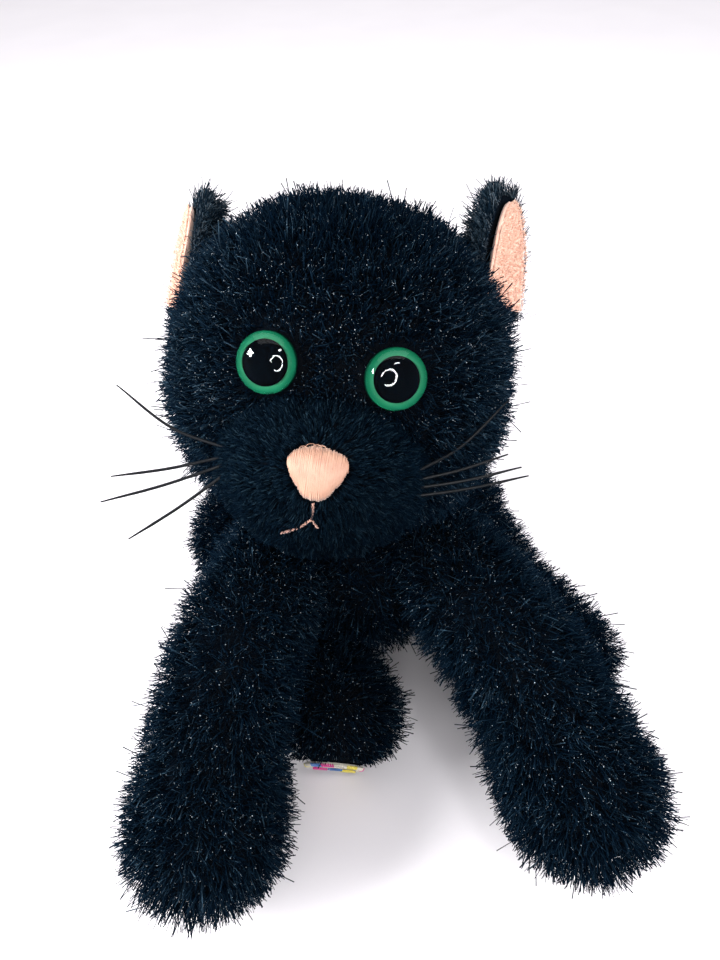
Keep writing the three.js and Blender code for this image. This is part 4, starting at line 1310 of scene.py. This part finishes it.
def make_label():
    """A blank ribbon tab, slightly curled towards its free end."""
    tab = LABEL_TAB
    low, high = (np.array(corner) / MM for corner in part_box("care_label"))
    outward = unit(np.array((0.52, 0.8, -0.3)))
    across = unit(np.cross(outward, (0, 0, 1)))
    seam = np.cross(outward, across)
    middle = (low + high) / 2 - SHIFT
    columns, rows = 15, 9
    points = []
    for layer in (-1, 1):
        for r in range(rows):
            for c in range(columns):
                s, t = c / (columns - 1) - 0.5, r / (rows - 1) - 0.5
                curl = tab["curl"] * (s + 0.5) ** 2 * math.cos(t * 2.2)
                points.append(middle + outward * s * tab["length"] + seam * t * tab["width"]
                              + across * (curl - 0.4 + layer * tab["thickness"] / 2))
    solid_piece("care_label_ribbon", "care_label", (points, sheet_faces(rows, columns)), LABEL,
                "torso", smooth=False)


# ------------------------------------------------------------------ stage
def stage_piece(name, points, faces, mat, hidden_from):
    """A mesh that belongs to the picture and not to the toy."""
    mesh = mesh_of(name, points, faces)
    mesh.materials.append(mat)
    piece = bpy.data.objects.new(name, mesh)
    bpy.context.scene.collection.objects.link(piece)
    for rays in hidden_from:
        setattr(piece, f"visible_{rays}", False)


def make_stage():
    """A plain pale floor, which gloss doesn't see."""
    size = 1.6
    corners = [(-size, -size, 0), (size, -size, 0), (size, size, 0), (-size, size, 0)]
    stage_piece("floor", corners, [(0, 1, 2, 3)], floor_finish(), ["glossy"])


def soft_box(name, at, aim, size, power, in_gloss):
    """A rectangular lamp; in_gloss says whether shiny surfaces show it."""
    light = bpy.data.lights.new(name, "AREA")
    light.shape = "RECTANGLE"
    light.size, light.size_y = size
    light.energy = power
    lamp = bpy.data.objects.new(name, light)
    lamp.location = at
    lamp.rotation_mode = "QUATERNION"
    lamp.rotation_quaternion = (Vector(aim) - Vector(at)).to_track_quat("-Z", "Y")
    lamp.visible_glossy = in_gloss
    bpy.context.scene.collection.objects.link(lamp)


SKY = {"colour": (0.97, 0.955, 0.985, 1), "level": 0.58, "level_in_gloss": 0.05}
TOY = (0, 0, 0.04)
LIGHTS = (  # at, aim and size in metres, watts, shown in gloss
    ("key", (-0.55, -0.13, 0.41), TOY, (0.16, 0.12), 3.1, True),
    ("lamp", (0.17, -0.24, 0.6), TOY, (0.11, 0.05), 0.6, True),
    ("ceiling", (0, 1.0, 1.8), TOY, (3.2, 3.2), 19, True),
    ("front", (0.1, -0.45, 0.3), TOY, (0.35, 0.25), 1.0, False),
    ("left_wall", (-0.45, -0.1, 0.16), TOY, (0.3, 0.3), 4.6, False),
    ("right_wall", (0.5, -0.05, 0.16), TOY, (0.3, 0.3), 4.0, False),
    ("far_floor", (0, 2.6, 1.3), (0, 1.5, 0), (2.4, 0.8), 7, False),
)


def make_lights():
    """A bright room that gloss sees only dimly, and soft boxes, some hidden from gloss."""
    world = bpy.data.worlds.new("studio")
    world.use_nodes = True
    nodes, links = world.node_tree.nodes, world.node_tree.links
    sky = nodes["Background"]
    sky.inputs["Color"].default_value = SKY["colour"]
    path = nodes.new("ShaderNodeLightPath")
    level = nodes.new("ShaderNodeMapRange")
    level.inputs["To Min"].default_value = SKY["level"]
    level.inputs["To Max"].default_value = SKY["level_in_gloss"]
    links.new(path.outputs["Is Glossy Ray"], level.inputs["Value"])
    links.new(level.outputs["Result"], sky.inputs["Strength"])
    bpy.context.scene.world = world
    for light in LIGHTS:
        soft_box(*light)


RING = {"radius": 0.055, "tube": 0.006, "offset": 0.02, "from": -125, "to": 165, "glow": 32}


def make_ring_lamp():
    """An open ring lamp just behind the camera, which shows as a small C in the eyes."""
    eye = place(CAMERA["at"])
    way = unit(place((0, 0, 60)) - eye)
    side = unit(np.cross(way, (0, 0, 1)))
    up = np.cross(side, way)
    centre = eye - way * RING["offset"] - up * RING["offset"]
    angle = np.radians(np.linspace(RING["from"], RING["to"], 60))[:, None]
    line = centre + RING["radius"] * (side * np.cos(angle) + up * np.sin(angle))
    glow = principled("ring_glow", (0.8, 0.8, 0.8), 0.5, Emission_Color=(1, 1, 1, 1),
                      Emission_Strength=RING["glow"])[0]
    stage_piece("ring_lamp", *tube(line, RING["tube"]), glow, ["camera", "shadow", "diffuse"])


def make_camera():
    """The camera looks down at the toy from the front, a little rolled."""
    data = bpy.data.cameras.new("camera")
    data.sensor_width = 36
    data.lens = CAMERA["lens"]
    data.clip_start, data.clip_end = 0.005, 10
    camera = bpy.data.objects.new("camera", data)
    bpy.context.scene.collection.objects.link(camera)
    down, roll = math.radians(CAMERA["down"]), math.radians(CAMERA["roll"])
    forward = Vector((0, math.cos(down), -math.sin(down)))
    level_up = Vector((0, math.sin(down), math.cos(down)))
    right = math.cos(roll) * Vector((1, 0, 0)) + math.sin(roll) * level_up
    up = right.cross(forward)
    turn = Matrix((right, up, -forward)).transposed()
    camera.matrix_world = Matrix.Translation(place(CAMERA["at"])) @ turn.to_4x4()
    bpy.context.scene.camera = camera
    bpy.context.scene.view_settings.view_transform = "Standard"


# ------------------------------------------------------------------ the toy
def dress_inner_nodes():
    """The CAD pieces inside the toy keep their shape and get their materials."""
    finishes = {
        "stuffing": FILLING,
        "pellets": PELLETS,
        "pouch_cloth": POUCH,
        "white_plastic": WASHER,
    }
    slots = {part["node"]: part["material_slot"] for part in frame["record"]["subparts"]}
    for name, node in frame["nodes"].items():
        if slots[name] in finishes:
            node.data.materials.clear()
            node.data.materials.append(finishes[slots[name]])


def make_toy():
    dress_inner_nodes()
    head_skin = stuffed_skin("head_skin", "head_cover", "head", 11)
    stuffed_skin("muzzle_skin", "muzzle_panel", "head", 12)
    torso_skin = stuffed_skin("torso_skin", "torso_cover", "torso", 13)
    head_pile(head_skin)
    muzzle_nap()
    legs = [name for name in limbs if name != "tail"]
    limb_pile("torso_pile", "torso", torso, torso_skin, 2.7, 21, ("head", "muzzle", *limbs))
    for number, (name, surface) in enumerate(limbs.items()):
        skin = stuffed_skin(f"{name}_skin", f"{name}_cover", name, 30 + number)
        others = ["torso", "head", "muzzle"] + [other for other in legs if other != name]
        limb_pile(f"{name}_pile", name, surface, skin, 3.2, 40 + number, others)
    for side_name in SIDES:
        make_eye(side_name)
        make_whiskers(side_name)
        make_ear(side_name)
    make_nose()
    make_mouth()
    make_sole()
    make_label()


make_camera()
make_stage()
make_lights()
make_ring_lamp()
make_toy()
